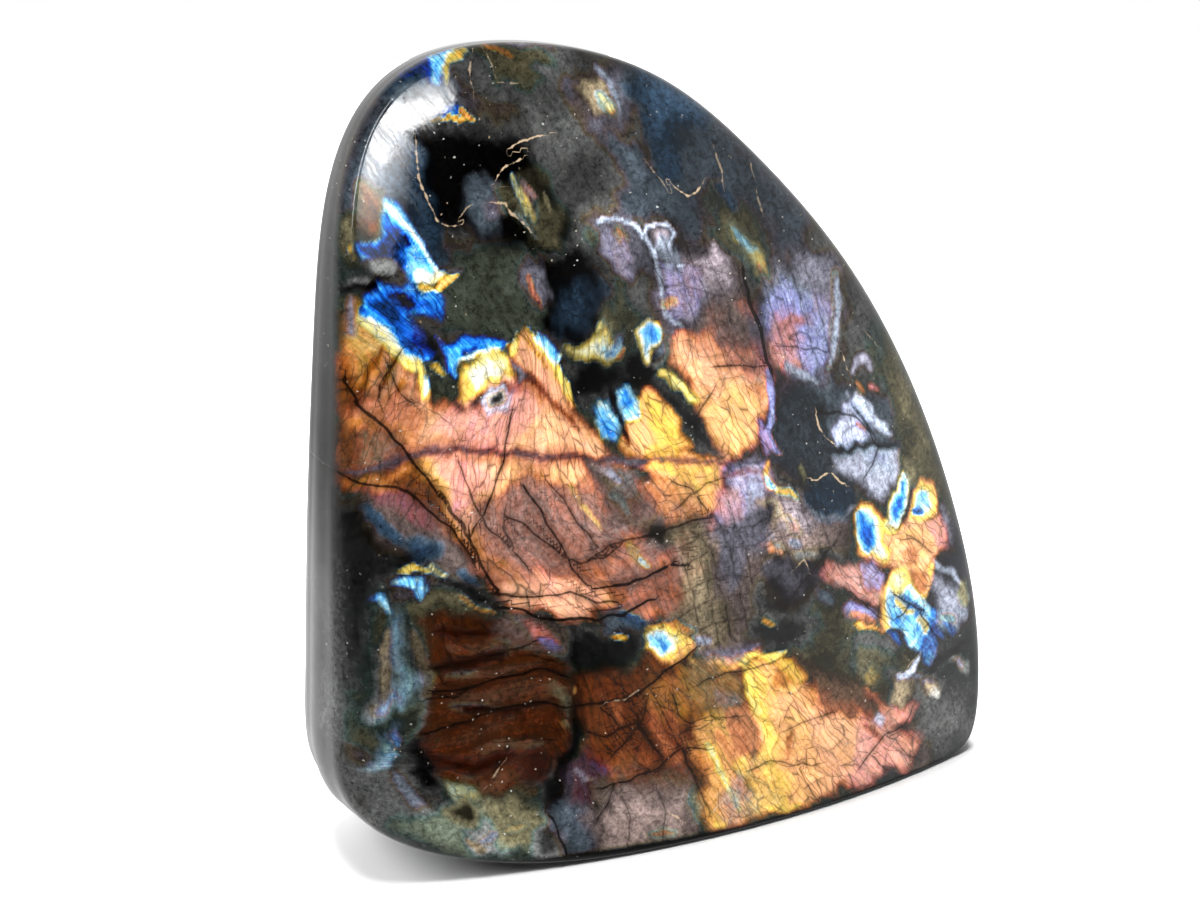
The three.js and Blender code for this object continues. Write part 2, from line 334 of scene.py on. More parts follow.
MARKS = (
    # slate, smoke and moss that the flash stands in
    patch("slate_and_sheen", 0, 0, 8, (-20, 136), (0, 128), (14, 114), (26, 100), (10, 96), (-8, 108), (-20, 118)),
    patch("ash", 0, 0.07, 5, (-31, 138), (-23, 137), (-17, 120), (-12, 106), (-21, 106), (-26, 120)),
    patch("ash", 0, 0.035, 4, (-27, 128), (-20, 130), (-11, 125), (-12, 114), (-20, 112), (-25, 118)),
    patch("olive", 0, 0.02, 3, (-21, 108), (-12, 108), (-8, 98), (-12, 91), (-20, 94)),
    patch("olive", 0, 0.05, 3, (0, 110), (6, 108), (12, 102), (11, 97), (4, 100)),
    patch("ash", 0, 0.02, 7, (22, 104), (34, 88), (46, 68), (44, 56), (30, 76), (24, 92)),
    patch("olive", 0, 0.08, 4, (38, 84), (46, 68), (52, 54), (46, 56), (40, 70)),
    patch("olive", 0, 0.03, 4, (14, 40), (22, 42), (30, 37), (37, 29), (48, 23), (52, 14), (40, 14), (30, 21),
        (20, 28)),
    patch("ash", 0, 0.1, 3, (27, 31), (33, 32), (36, 27), (30, 25)),
    patch("slate_and_sheen", 0, -0.015, 3, (11, 82), (16, 80), (24, 74), (26, 62), (22, 55), (14, 60), (11, 68)),
    patch("slate_and_sheen", 0, 0.06, 2, (19, 79), (23, 79.6), (25, 75), (22, 73)),
    patch("void", 0, 0, 2.5, (-50, 122), (-44, 125), (-37, 125), (-31, 123), (-27, 118), (-25, 109),
        (-28, 104), (-35, 105), (-42, 107), (-47, 108)),
    patch("void", 0, 0, 2, (-30, 104), (-24, 105), (-20, 101), (-20, 92), (-24, 89), (-29, 92), (-31, 98)),
    patch("steel", 0, 0, 3, (-28, 97), (-24, 98), (-21, 94), (-23, 91), (-27, 92)),
    patch("fern", 0, 0.015, 1.6, (-45.6, 97.6), (-43, 103), (-37, 104.6), (-32.6, 103), (-30, 97), (-31, 92),
        (-36, 91), (-41, 92), (-45, 94.6)),
    patch("void", 0, 0, 1.5, (-27, 84), (-24, 88.5), (-19, 86), (-14, 88), (-11, 85), (-14, 82), (-18, 84),
        (-20, 82), (-25, 80.5), (-26, 79)),
    patch("ash", 0, 0, 3, (-25, 117), (-22, 121), (-18, 119), (-19, 114), (-23, 112)),
    patch("void", 0, 0.03, 3, (-29, 128), (-25, 130), (-22, 126), (-26, 122)),
    patch("slate_and_sheen", 0, 0.09, 2, (-17, 122), (-13, 121), (-9, 116), (-12, 115)),
    patch("slate_and_sheen", 0, 0.02, 2.4, (-14, 112), (-8, 114), (-4, 110), (-9, 108)),
    # top edge
    patch("ash", 0, 0.01, 2, (-43, 131), (-41, 135), (-35, 137), (-27, 136.4), (-26, 131), (-37, 129.5)),
    patch("olive", 0, 0.03, 2, (-36, 136.6), (-30, 136.4), (-27, 133.6), (-30, 131.6), (-34, 133)),
    patch("slate_and_sheen", 0, 0.1, 1.6, (-52, 128.6), (-47, 131.4), (-43, 132.6), (-42, 130.4), (-46, 129.2),
        (-50, 128)),
    patch("navy>blue", 0.45, 0.02, 1.6, (-54, 129.4), (-49, 134), (-43, 137.4), (-37.6, 138.2), (-41, 135.4),
        (-43.4, 133), (-44, 131), (-49, 130.4)),
    streak("ice>azure", 0.7, 0.04, 1.2, (-44.6, 131), (-43.8, 133.4), (-41.6, 135.2), (-38.2, 136.8)),
    streak("cream>gold", 0.4, 0.04, 0.8, (-42.7, 130.8), (-42.5, 132.8), (-41, 134.5), (-38.6, 135.8)),
    streak("gold", 0.12, 0.04, 0.8, (-36, 136.6), (-33.6, 135.8), (-31.4, 134.4)),
    streak("mist", 0, 0.14, 1.4, (-33.4, 137), (-29, 137), (-25, 136.2)),
    streak("ash", 0, 0.06, 1.4, (-28, 133), (-24, 131.5)),
    patch("azure", 0.3, 0, 0.6, (-44.2, 125.6), (-41.6, 128.4), (-40, 127.4), (-39.2, 125.8)),
    streak("gold", 0.6, 0.03, 0.6, (-44.8, 125.2), (-41.6, 125.7), (-39.6, 126), (-38.4, 125.4)),
    streak("orange", 0.7, 0.05, 0.8, (-40.2, 127.2), (-38.8, 125.8)),
    # painted highlight: the bright top edge where the gloss highlight ends
    streak("frost_and_glare", 0, -0.2, 0.6, (-43, 127.6), (-40.8, 128.6)),
    patch("mist", 0, 0.06, 2, (-22.4, 130.6), (-18.6, 133), (-14.6, 129.6), (-14, 125), (-18, 125.6)),
    patch("sand", 0, 0.42, 1.6, (-20.8, 130), (-18, 130.6), (-15.6, 128.6), (-15.6, 126.2), (-18.4, 127)),
    streak("peach", 0.4, 0.1, 1.2, (-17.4, 127.6), (-16, 126.2)),
    streak("frost_and_glare", 0, -0.15, 0.8, (-18.4, 132.8), (-16.2, 130.6), (-14.7, 127), (-14.5, 125.6)),
    streak("cream", 0.6, 0.12, 1.2, (-18, 128.6), (-16.4, 127)),
    patch("steel", 0, 0.02, 2.6, (-10.5, 131), (-4, 129), (0.6, 125.6), (-4, 124), (-8, 124.5)),
    streak("steel", 0, 0.03, 1.3, (-8.6, 129), (-7.8, 125.4)),
    streak("steel", 0, 0.03, 1, (-6.2, 129.4), (-5.6, 125)),
    streak("steel", 0, -0.01, 3.6, (-8, 124), (-6.6, 120), (-6, 116)),
    streak("steel", 0, -0.01, 1.6, (2.4, 113), (4.6, 110.4)),
    # blue-grey veil between the black gap and the left edge; its first patch is painted reflection, the mist
    # beside the gloss highlight
    patch("slate_and_sheen", 0, 0.07, 2.5, (-58, 113), (-54, 124), (-48, 126), (-47, 120), (-50, 114), (-54, 110)),
    patch("steel", 0, -0.01, 2, (-52, 120), (-48.4, 122), (-47, 115), (-44.8, 108), (-46.2, 104),
        (-48, 110)),
    patch("slate_and_sheen", 0, 0.04, 2, (-40.6, 111.4), (-38.6, 115), (-35.4, 115), (-34.4, 110), (-36, 108),
        (-39, 108.6)),
    patch("violet", 0.1, 0.05, 1.4, (-38, 111), (-35.6, 111), (-35.4, 108.8), (-37.4, 108.6)),
    patch("olive", 0, 0.035, 2, (-35, 114), (-32, 117.4), (-28.6, 115), (-25.6, 110.4), (-28, 106.6),
        (-32, 107), (-34, 110)),
    streak("cream>amber", 0.4, 0.12, 1.6, (-31.7, 114.6), (-31.4, 112), (-30.8, 110.4)),
    streak("cream", 0.3, 0.1, 0.6, (-33.2, 116.8), (-32.2, 113), (-31.9, 110.6)),
    streak("olive", 0, 0.12, 0.6, (-28.8, 114), (-27.6, 110.6)),
    streak("ash", 0, 0.1, 0.5, (-33.4, 111), (-30.4, 107)),
    streak("salmon", 0.2, 0.12, 1, (-31.2, 115.6), (-30.2, 113)),
    streak("void", 0, 0, 0.8, (-30.6, 112.6), (-30.4, 110.4)),
    patch("mist", 0.2, 0.02, 1.4, (-32.4, 101), (-29.4, 103.6), (-29, 101), (-30.4, 97)),
    streak("pink>amber", 0.5, 0.02, 0.9, (-32.4, 101), (-31.4, 98.4), (-30.2, 95.6)),
    # upper left hook
    patch("amber", 0.12, 0.1, 1.6, (-58.4, 109.4), (-56, 114.8), (-53, 114), (-51.8, 110.6), (-54, 107.8),
        (-57, 107.6)),
    patch("rust", 0.1, 0.13, 1, (-57, 110.4), (-55.4, 113), (-53.6, 111.4), (-54.4, 109)),
    patch("ice>blue>azure", 0.95, 0, 1.1, (-57.6, 106.2), (-54, 108.2), (-52.4, 112.8), (-51, 112),
        (-48.8, 108), (-47, 104), (-46.4, 101), (-48, 99), (-51, 100), (-52.4, 103), (-54.6, 104.6),
        (-57, 104.2)),
    patch("navy", 0.8, 0, 1.4, (-56.6, 105.6), (-53.6, 107.4), (-51.4, 108.6), (-50.6, 105.6), (-52, 103.6),
        (-54.6, 104.4)),
    streak("void", 0, 0, 0.6, (-50.8, 107.8), (-50.2, 106.6)),
    streak("sky>ice", 1, 0.05, 2.2, (-50, 105.4), (-49.6, 103), (-48.6, 101.4)),
    streak("frost_and_glare", 0.8, -0.3, 0.8, (-50.6, 103.6), (-50, 101.6)),
    streak("ice>white", 0.9, 0.12, 0.7, (-53, 112.8), (-50.2, 109.4), (-48.2, 106.4), (-46.8, 103.6),
        (-46, 101.4)),
    streak("white>gold", 1, 0.06, 1.7, (-49, 101.2), (-47.4, 100), (-45.6, 100.8)),
    streak("void", 0, 0, 0.7, (-47.2, 99.6), (-46, 99.9)),
    streak("gold>orange", 0.95, 0, 0.9, (-49.2, 99.6), (-47, 98.4), (-44.8, 100), (-43.2, 101.4)),
    streak("azure", 0.95, 0.02, 1.4, (-51.6, 99.4), (-49, 97.6), (-46.2, 97.8)),
    streak("mist", 0.2, 0.02, 0.8, (-44.4, 102), (-42.6, 102)),
    patch("ash", 0, 0.2, 0.6, (-56.4, 104.2), (-54.4, 104.8), (-52.8, 103.8), (-53.6, 102.2), (-56, 102.4)),
    patch("ash", 0, 0.16, 0.6, (-59, 101.4), (-57, 102.4), (-56.4, 100.8), (-58.6, 100.2)),
    streak("olive", 0, 0.12, 1.6, (-59, 111), (-59, 107.6), (-58.4, 104)),
    streak("gold", 0.4, 0.08, 0.8, (-59, 107), (-58.4, 104.4)),
    streak("void", 0, 0, 1.4, (-60, 99.6), (-56.6, 100.6), (-53.4, 102)),
    # left gold column and the blue diagonal
    patch("gold", 0.34, 0.06, 1.8, (-61, 95), (-59, 98.4), (-55.6, 95), (-52, 90.6), (-49.8, 87), (-49.4, 80),
        (-53, 80), (-59, 84), (-61.4, 87)),
    patch("gold", 0.36, 0.22, 2.2, (-60, 97), (-56.4, 95), (-55, 91), (-58, 89), (-60.4, 92)),
    patch("amber", 0.2, 0, 1.5, (-62, 90), (-60, 90), (-58.4, 85), (-57.6, 81), (-60, 78.6), (-63, 80)),
    patch("peach", 0.34, 0.12, 1.8, (-54, 88.6), (-50.4, 87), (-50, 80.6), (-53.4, 79.6), (-56, 83)),
    streak("amber", 0.18, 0, 0.9, (-59.4, 83.6), (-56.4, 88), (-54.6, 91.6)),
    streak("amber", 0.22, 0, 0.8, (-57, 82.6), (-54, 87.4), (-52.6, 90.4)),
    streak("amber", 0.25, 0, 0.6, (-54.6, 81.6), (-52.4, 86)),
    patch("azure>blue>navy", 0.95, 0, 1.3, (-58, 98.4), (-55.6, 100.8), (-52, 99.8), (-49.4, 97.8),
        (-46, 97.2), (-45.8, 95.2), (-47.6, 96.4), (-50.4, 95.6), (-51.4, 94.6), (-49.2, 92), (-47.6, 89.4),
        (-49.6, 88.6), (-52.4, 90.8), (-55, 94), (-58, 96)),
    patch("void", 0, 0.01, 0.8, (-53.6, 98.4), (-52, 98.8), (-49.8, 97), (-51, 96.2)),
    streak("ice", 0.9, 0.03, 0.7, (-56.8, 95), (-53.6, 91.6), (-50.4, 88.8)),
    streak("cream>gold", 0.85, 0.05, 1.2, (-58.4, 95.8), (-56, 93.4), (-53.4, 90.6), (-50.6, 88),
        (-49, 86.4)),
    streak("mist", 0, 0.16, 1.2, (-60, 93), (-59.4, 98.6)),
    # second blue and the ringed area under it
    patch("blue>azure", 1, 0, 0.9, (-47.4, 92.8), (-45.6, 90.8), (-42.6, 91.6), (-39, 91), (-36.4, 90.2),
        (-38.2, 88.6), (-43, 88.8), (-44.2, 85.6), (-45.8, 86)),
    streak("ice>white", 1, 0.04, 0.9, (-43.6, 87.8), (-41, 88.6), (-38, 88.2)),
    patch("lemon>white", 0.95, 0.05, 1.4, (-43.8, 87), (-40, 88), (-36.4, 87.4), (-35.4, 83.4), (-38, 83.6),
        (-42, 81.6), (-44.2, 81), (-44.4, 84)),
    patch("gold", 0.95, 0.02, 1, (-44.4, 84.6), (-42.4, 84.8), (-41.4, 82.2), (-43, 80.6), (-44.6, 81.6)),
    streak("frost_and_glare", 0, 0, 1.5, (-39.6, 86), (-37.6, 85.4), (-36.6, 84)),
    streak("void", 0, 0.01, 0.6, (-40.4, 85.6), (-39.4, 84.4)),
    streak("azure", 0.9, 0, 1, (-45.2, 88.6), (-44.6, 85.4)),
    patch("void", 0, 0.004, 1.2, (-50, 92), (-46.8, 92), (-46, 88), (-45.6, 84), (-46.6, 82), (-48.6, 84),
        (-48, 89)),
    patch("fern", 0, 0, 1.2, (-48.4, 87), (-45.6, 86), (-44.6, 80.6), (-47, 77.6), (-49.6, 79), (-49, 83)),
    streak("lemon", 0.8, 0.04, 0.7, (-49.6, 87.4), (-49.8, 83.4), (-49.8, 80), (-48, 77.8)),
    streak("ice", 0.7, 0.06, 0.6, (-49, 86), (-49.1, 82), (-48.9, 79.6)),
    streak("lemon", 0.4, 0.04, 1, (-47.6, 87.4), (-46.4, 86)),
    streak("gold", 0.3, 0.02, 1, (-46.6, 82), (-46, 80)),
    # orange strip with gold edges
    patch("orange>copper", 0.85, 0.03, 1.1, (-35.8, 90.6), (-33.4, 93.4), (-31, 91.4), (-29, 88), (-27, 84),
        (-26, 80.4), (-26.4, 77.6), (-29.6, 79), (-33, 84), (-35.4, 87)),
    streak("lemon>gold", 1, 0.02, 0.8, (-32.8, 92.8), (-30.4, 90), (-28.4, 86.8), (-26.8, 83), (-26, 79.4)),
    streak("lemon", 0.9, 0.03, 0.7, (-35.6, 88.6), (-34.8, 92.4)),
    streak("amber", 0.4, 0, 0.5, (-33.4, 91.6), (-31, 88.4), (-29.4, 85)),
    streak("ice>azure", 1, 0, 1.4, (-31, 91.4), (-29.4, 89.6), (-27.8, 87.4)),
    # swirl, azure islands and the black streak of the middle
    patch("olive", 0, 0.1, 1.4, (-25.4, 89), (-22, 91.4), (-19.4, 95.4), (-18, 91.6), (-16.4, 88),
        (-19, 86.4), (-23, 87)),
    patch("lemon>foam", 0.5, 0.12, 1.6, (-26, 88.8), (-23.6, 90), (-21.4, 91), (-19.8, 93.6), (-18.9, 91),
        (-18.4, 88), (-20, 86.6), (-22, 87), (-23.6, 87.4)),
    streak("ash", 0.3, 0.05, 1, (-22, 90), (-21.4, 88.2)),
    streak("cream", 0.5, 0.1, 0.8, (-21.4, 91.4), (-20, 93)),
    streak("ice", 0.3, 0.1, 1.4, (-19.8, 87.6), (-18, 88.6), (-17.6, 90.2)),
    streak("peach", 0.5, 0.06, 0.8, (-17.8, 87.4), (-16.8, 88.4)),
    patch("lemon>ice>azure", 0.85, 0.06, 1, (-14.6, 91), (-12, 92.6), (-10, 91.8), (-9.8, 89), (-12, 87.6),
        (-12.6, 84.8), (-13.4, 86.4), (-13.8, 89)),
    patch("slate_and_sheen", 0, 0.1, 1.6, (-9.6, 92), (-6, 90.6), (-7, 86.6), (-11, 86), (-10, 89)),
    streak("ash", 0, 0.05, 1, (-13, 85), (-11, 84.6), (-9, 86)),
    # copper field of the left and the middle
    patch("copper", 0.5, 0.02, 2.2, (-63, 70), (-62, 78), (-59, 84), (-55, 84), (-50.4, 80.6), (-47, 77),
        (-43.4, 80), (-38.6, 78.6), (-33, 84), (-27, 78), (-22, 73.4), (-17, 71), (-14, 66), (-10, 60),
        (-6, 56), (-5, 50), (-6, 44), (-12, 43), (-24, 44), (-32, 46), (-40, 49), (-43, 54), (-46, 58),
        (-52, 62), (-57, 67)),
    patch("peach", 0.95, 0.05, 4, (-51, 78), (-44, 81), (-34, 83), (-26, 76), (-20, 70), (-27, 67), (-36, 69),
        (-44, 60), (-49, 68)),
    patch("salmon", 0.85, 0.04, 3.2, (-50, 72), (-44, 72), (-40, 66), (-44, 61), (-48, 66)),
    patch("peach", 0.9, 0.04, 2.8, (-30, 78), (-26, 79), (-20, 71), (-27, 69), (-31, 72)),
    patch("amber", 0.11, 0.012, 2.6, (-63, 69), (-62, 79), (-58, 80), (-54, 76), (-51, 71), (-56, 69)),
    patch("peach", 0.16, 0.07, 2.2, (-59.4, 73), (-58.4, 78), (-55, 77), (-52.6, 73.6), (-56, 72)),
    patch("amber", 0.12, 0.01, 1.8, (-57, 69.4), (-52, 71), (-48, 65), (-44.4, 58), (-46, 58), (-50, 63.4),
        (-54, 68)),
    patch("bronze", 0.26, 0.09, 3.4, (-42, 66), (-34, 70), (-24, 67), (-19, 57), (-25, 50.6), (-37, 51),
        (-43, 57)),
    patch("mauve", 0.75, 0.11, 3, (-40, 64), (-32, 66), (-28, 58), (-33, 54), (-40, 57)),
    patch("copper", 0.9, 0.04, 2.2, (-41, 50.6), (-34, 52), (-24, 49), (-18, 45), (-28, 44.6), (-38, 47)),
    patch("bronze", 0.24, 0.05, 2.4, (-24, 52), (-16, 53), (-8, 50), (-6, 44), (-14, 43), (-22, 46)),
    patch("salmon", 0.92, 0.08, 2.6, (-49, 77), (-47, 79), (-42, 81), (-38, 79), (-36, 82), (-33, 80),
        (-38, 76), (-44, 76)),
    streak("mauve", 0.5, 0.02, 3.4, (-54, 73.4), (-46, 74), (-40, 73.4), (-32, 71.6), (-24, 70.4)),
    streak("mauve", 0.22, -0.03, 1.2, (-36, 88), (-33, 85), (-29.6, 81), (-26.2, 77), (-25, 75.4)),
    streak("mist", 0.2, 0.02, 1, (-36, 87.8), (-34, 85.6), (-35, 83.6)),
    streak("mist", 0.2, -0.07, 1.1, (-62, 71.2), (-57, 72), (-52, 73.3), (-46, 73.8), (-40, 73.6),
        (-34, 72.6), (-30, 71.4), (-24, 70.9), (-18, 70.3), (-12, 69.8)),
    streak("plum", 0.3, 0.06, 0.8, (-12, 69.8), (-5, 68.6), (1, 67.4), (9, 66.6)),
    streak("plum", 0.4, 0.05, 0.9, (-16, 69.6), (-11.6, 67.6), (-7, 65.4), (-3, 62.6), (1, 60)),
    # small ring
    patch("frost_and_glare", 0.15, 0.1, 0.5, (-40.9, 81.6), (-39.6, 83.6), (-37.3, 83.7), (-36, 81.8), (-37, 79.6),
        (-39.6, 79.6)),
    patch("void", 0, 0.02, 0.5, (-39.9, 81.7), (-39, 82.8), (-37.6, 82.8), (-37, 81.6), (-37.8, 80.5),
        (-39.3, 80.5)),
    streak("mist", 0.2, 0.1, 0.8, (-36, 82.6), (-34.6, 83)),
    # grey lamellae with white and gold slivers
    patch("ash", 0.1, 0.06, 2, (-24, 70), (-17, 68.6), (-12, 62), (-9, 59), (-14, 57), (-21, 58), (-23, 64)),
    patch("ash", 0, 0.12, 1.4, (-24.6, 70.4), (-20, 70), (-16.4, 66.4), (-19, 64.6), (-22.4, 67)),
    streak("frost_and_glare", 0, 0, 0.9, (-23.4, 69.8), (-20.6, 68.6), (-18.6, 66.8)),
    streak("olive", 0.2, 0.12, 1, (-21, 66), (-18.4, 62), (-16.8, 59)),
    streak("lemon", 0.9, 0.08, 0.9, (-25.8, 64), (-24.2, 61.6), (-22.6, 58.6)),
    streak("gold", 0.55, 0.04, 0.8, (-27.4, 66.4), (-25.4, 63.6)),
    patch("void", 0, 0.006, 1.6, (-15, 58), (-11.4, 59.8), (-8.6, 58), (-8.4, 54.6), (-12, 54), (-15, 55.6)),
    streak("lemon", 0.4, 0.08, 1.2, (-18, 56), (-16.4, 53.8), (-14.4, 52)),
    streak("ice", 0.6, 0.08, 0.7, (-15.4, 53.2), (-13.8, 51.6)),
    streak("frost_and_glare", 0, -0.15, 0.7, (-19, 59.4), (-17.8, 57.6)),
    # orange and gold fields of the middle
    patch("orange", 0.95, 0.01, 1.4, (-18, 73), (-16.6, 78), (-14.2, 82), (-11, 80.6), (-8, 77), (-7.4, 73),
        (-5, 70.4), (-12, 70.2), (-17, 71.6)),
    patch("gold", 1, 0, 2, (-14, 80.6), (-10.4, 79.6), (-8, 76), (-7.6, 73), (-5, 70.2), (-9, 70.8),
        (-13, 75)),
    patch("gold", 0.88, 0.04, 2.4, (-13, 70), (-6, 69.6), (0, 68.6), (1.4, 65), (1, 62), (-3, 59.6), (-8, 61),
        (-12, 65)),
    patch("amber", 0.85, 0.06, 3, (-6, 68), (0, 68), (1.4, 65), (1, 62), (-3, 60), (-7, 62)),
    patch("orange", 0.72, 0.04, 1.8, (-6, 62), (0, 64), (1.6, 60), (-2.6, 57.6)),
    patch("orange", 0.5, 0.07, 2.4, (-14, 66), (-8, 64), (-4, 60), (-7, 58.6), (-12, 62)),
    patch("peach", 0.8, 0.05, 2, (-8, 88.6), (-5, 90.4), (-2, 91), (3, 90), (8.4, 89), (9.8, 84), (10.2, 79),
        (9.4, 73), (6.6, 69), (1, 68.6), (-1.6, 71), (-3, 75), (-5, 79), (-4.4, 83), (-8, 85.4)),
    patch("bronze", 0.2, 0.1, 4, (-3, 93), (2, 95), (7, 94), (9.4, 87), (6, 86), (0, 89)),
    patch("bronze", 0.4, 0.16, 3.4, (1, 91), (7.4, 90.6), (9.6, 84), (9, 78), (6, 80), (2, 84)),
    patch("orange", 0.98, 0.06, 3.4, (-3, 75), (-1, 80), (4, 79.6), (7.6, 77), (8, 72), (3, 69.4), (-1, 71)),
    patch("peach", 0.7, 0.18, 2, (-5.6, 88), (-3, 88.6), (-0.6, 85), (-0.8, 80.6), (-4, 81), (-4.6, 84)),
    patch("void", 0, 0.006, 1.1, (-13, 83.6), (-9.4, 81.6), (-6.4, 78), (-3.4, 75.6), (-1.8, 72.6),
        (-0.6, 69.8), (-3.4, 70.4), (-5.6, 72.4), (-7.4, 74), (-8, 76.6), (-10.6, 79.4), (-14, 82)),
    streak("ash", 0, 0.04, 2, (-4, 70.6), (-1, 69), (1.4, 67.8)),
    patch("void", 0, 0, 1, (-19, 84.6), (-14, 84.4), (-11, 83.6), (-13.6, 81.8), (-15, 82.6),
        (-17.6, 82.6)),
    streak("lemon", 1, 0.02, 1.8, (-9.8, 83.7), (-8.6, 83.2), (-6.8, 81.4), (-5, 79.2)),
    patch("foam>sky>azure", 1, 0, 1, (-19.2, 81.6), (-17.4, 82.5), (-15.6, 80), (-15.7, 77.2),
        (-17.8, 76.8), (-18.9, 79)),
    patch("foam>sky>azure", 1, 0, 1.1, (-23.4, 80), (-20.8, 80.2), (-19.2, 77.4), (-18.8, 74),
        (-21, 74.6), (-23, 77.4)),
    streak("void", 0, 0, 1.2, (-20.2, 82.6), (-19.2, 79.2), (-17.6, 75), (-16.6, 73)),
    # violet field and its white seam
    patch("ash", 0, 0.02, 2, (-14, 102), (-9, 100), (-9, 92), (-13, 93), (-16, 98)),
    patch("mauve", 0, 0.04, 3, (-3, 97), (2, 98.6), (6, 98), (7.4, 93), (9.2, 88), (3, 88.6), (-2, 91)),
    patch("mauve", 0.35, 0.06, 5, (-3, 96), (4, 97), (9, 92), (10, 84), (6, 84), (1, 88.6), (-3, 92)),
    patch("blush", 0.35, 0.3, 2.4, (-11, 104), (-5, 103.4), (0, 104), (3, 101.4), (3.6, 97), (0, 96),
        (-6, 99), (-9, 102)),
    patch("violet", 0.34, 0.32, 3, (-9, 102), (-5, 101.6), (-2.4, 100), (-2.4, 96), (-4, 93.6), (-7, 92.6),
        (-9, 95)),
    patch("blush", 0.2, 0.48, 2.2, (-3, 101.6), (0.4, 103), (1.4, 100.6), (-1, 98.4)),
    patch("mist", 0.3, 0, 2, (-19.4, 109), (-16.4, 109.2), (-13, 106), (-11, 101), (-15, 100.4),
        (-19, 105)),
    patch("violet", 0.16, 0.22, 1.8, (-18.8, 107.4), (-16, 105.6), (-14.2, 101), (-17, 101.6), (-19, 105)),
    streak("peach", 0.7, 0.16, 1.6, (-16.4, 107), (-15.2, 105.4)),
    streak("violet", 0.3, 0.2, 1, (-15.6, 104.8), (-14.4, 102.4)),
    patch("blush", 0.1, 0.55, 1, (-12, 106.8), (-8, 107.2), (-7.2, 105.4), (-8.6, 103), (-10.6, 103.4)),
    streak("frost_and_glare", 0.2, 0.3, 0.65, (-20, 108.6), (-16.6, 109.4), (-13.6, 107.8), (-11.6, 104.8),
        (-9.9, 102)),
    streak("frost_and_glare", 0.2, 0.15, 0.65, (-9.9, 102), (-9.3, 98.6), (-9.3, 95.6)),
    streak("frost_and_glare", 0, 0.05, 0.7, (-9.3, 96), (-8.6, 93), (-6.4, 91)),
    streak("frost_and_glare", 0.2, 0.4, 0.75, (-12.4, 105.6), (-11.6, 107.5), (-7.8, 107.5), (-6.6, 106.2),
        (-7.8, 104.2), (-7, 102), (-5.2, 101)),
    streak("orange", 0.3, 0.1, 1.2, (-9, 95), (-7.2, 95.4)),
    patch("frost_and_glare", 0.4, -0.02, 1.2, (-9.4, 104), (-6.6, 103.4), (-5.4, 100.6), (-8, 100)),
    # rose and violet field right of the long crack
    patch("mist", 0, 0.08, 3, (9, 96), (13, 99), (19, 101.4), (25.4, 97.6), (26.4, 92), (24, 87), (16, 90),
        (10, 91)),
    streak("ash", 0, -0.01, 1.8, (7.4, 99), (8.6, 95), (10, 91), (10.6, 86)),
    patch("violet", 0.34, 0.2, 4, (10, 96), (14, 97.4), (19, 94), (24, 91), (24.6, 84), (21.6, 80.4),
        (15, 81.4), (10.6, 84)),
    patch("lilac", 0.5, 0.14, 3, (10.6, 96), (14, 97), (18, 93.6), (16, 90.6), (11, 91)),
    patch("pink", 0.5, 0.22, 4, (10.8, 84), (11, 87), (14, 89), (18.6, 88.6), (20.4, 86), (18.6, 83.6),
        (15, 82.6)),
    patch("lilac", 0.66, 0.14, 3.6, (19.6, 88.6), (22.6, 89.4), (24, 86.6), (23, 82.4), (20, 81)),
    streak("salmon", 0.5, 0.08, 1.6, (10.8, 86), (12.6, 83.4), (16, 82.4)),
    streak("teal", 0, 0.15, 2, (25.4, 97), (25.8, 91), (25, 85), (23, 81.6)),
    streak("frost_and_glare", 0, -0.1, 1.2, (25.8, 96), (25.8, 90), (25, 86), (23.6, 82.6)),
    streak("frost_and_glare", 0, -0.1, 1.6, (13.6, 83), (17, 81), (20, 79.4)),
    streak("lilac", 0.65, 0.1, 1.1, (9.9, 82), (10.8, 78.6), (10.6, 74), (9.6, 71), (10.6, 69), (12, 67.4)),
    streak("violet", 0.7, 0.08, 1.6, (8.6, 72.6), (9, 69.6), (10, 68)),
    streak("lemon", 0.3, 0.14, 3.6, (5.4, 105.8), (8, 103), (9.4, 99.8)),
    patch("foam", 0.45, 0.3, 1.4, (4.6, 106.4), (6.6, 106), (8.6, 103), (7, 102.4), (5.4, 104.4)),
    streak("orange", 0.2, 0.06, 0.9, (9.2, 99.6), (9.5, 98.6)),
    # violet, cream and mottled stone right of the middle
    patch("violet", 0.38, 0.34, 2.8, (1, 66.4), (5, 66.6), (9.4, 66), (9, 62.4), (5.4, 60.4), (3, 56.6),
        (-0.6, 58.6), (0.6, 62)),
    patch("pink", 0.4, 0.24, 2.4, (-0.4, 61.6), (2.6, 61.4), (3, 58), (0.4, 57.6)),
    streak("plum", 0.4, 0.08, 0.9, (1, 65.6), (5, 65.8), (9, 65.2)),
    patch("frost_and_glare", 0.2, 0.05, 2.2, (3.6, 58), (6.6, 62.4), (9, 63), (11, 60.6), (10, 59), (7, 59.6)),
    patch("mauve", 0, 0.09, 2.8, (16, 57), (25, 54), (25, 47.6), (17, 46), (13, 50)),
    patch("mauve", 0, 0.3, 3, (11, 60), (15, 59.4), (20, 56), (21, 51), (17, 48.6), (12, 51), (9, 55)),
    patch("blush", 0.1, 0.5, 2, (11.4, 60), (16, 58.6), (17.4, 54.6), (12, 54.6)),
    patch("ash", 0, -0.015, 1.4, (8.6, 60.4), (11, 60), (11.8, 57.4), (9.2, 56.6)),
    streak("salmon", 0.6, 0.2, 1.4, (13.4, 56.6), (15.6, 53)),
    streak("orange", 0.6, 0.16, 1.8, (7.4, 52.8), (9.4, 52), (11.6, 50.8)),
    streak("lilac", 0.5, 0.14, 1.2, (5.8, 54.2), (8.4, 53.8)),
    streak("frost_and_glare", 0.1, -0.25, 1.1, (14.2, 52), (16.6, 49.4)),
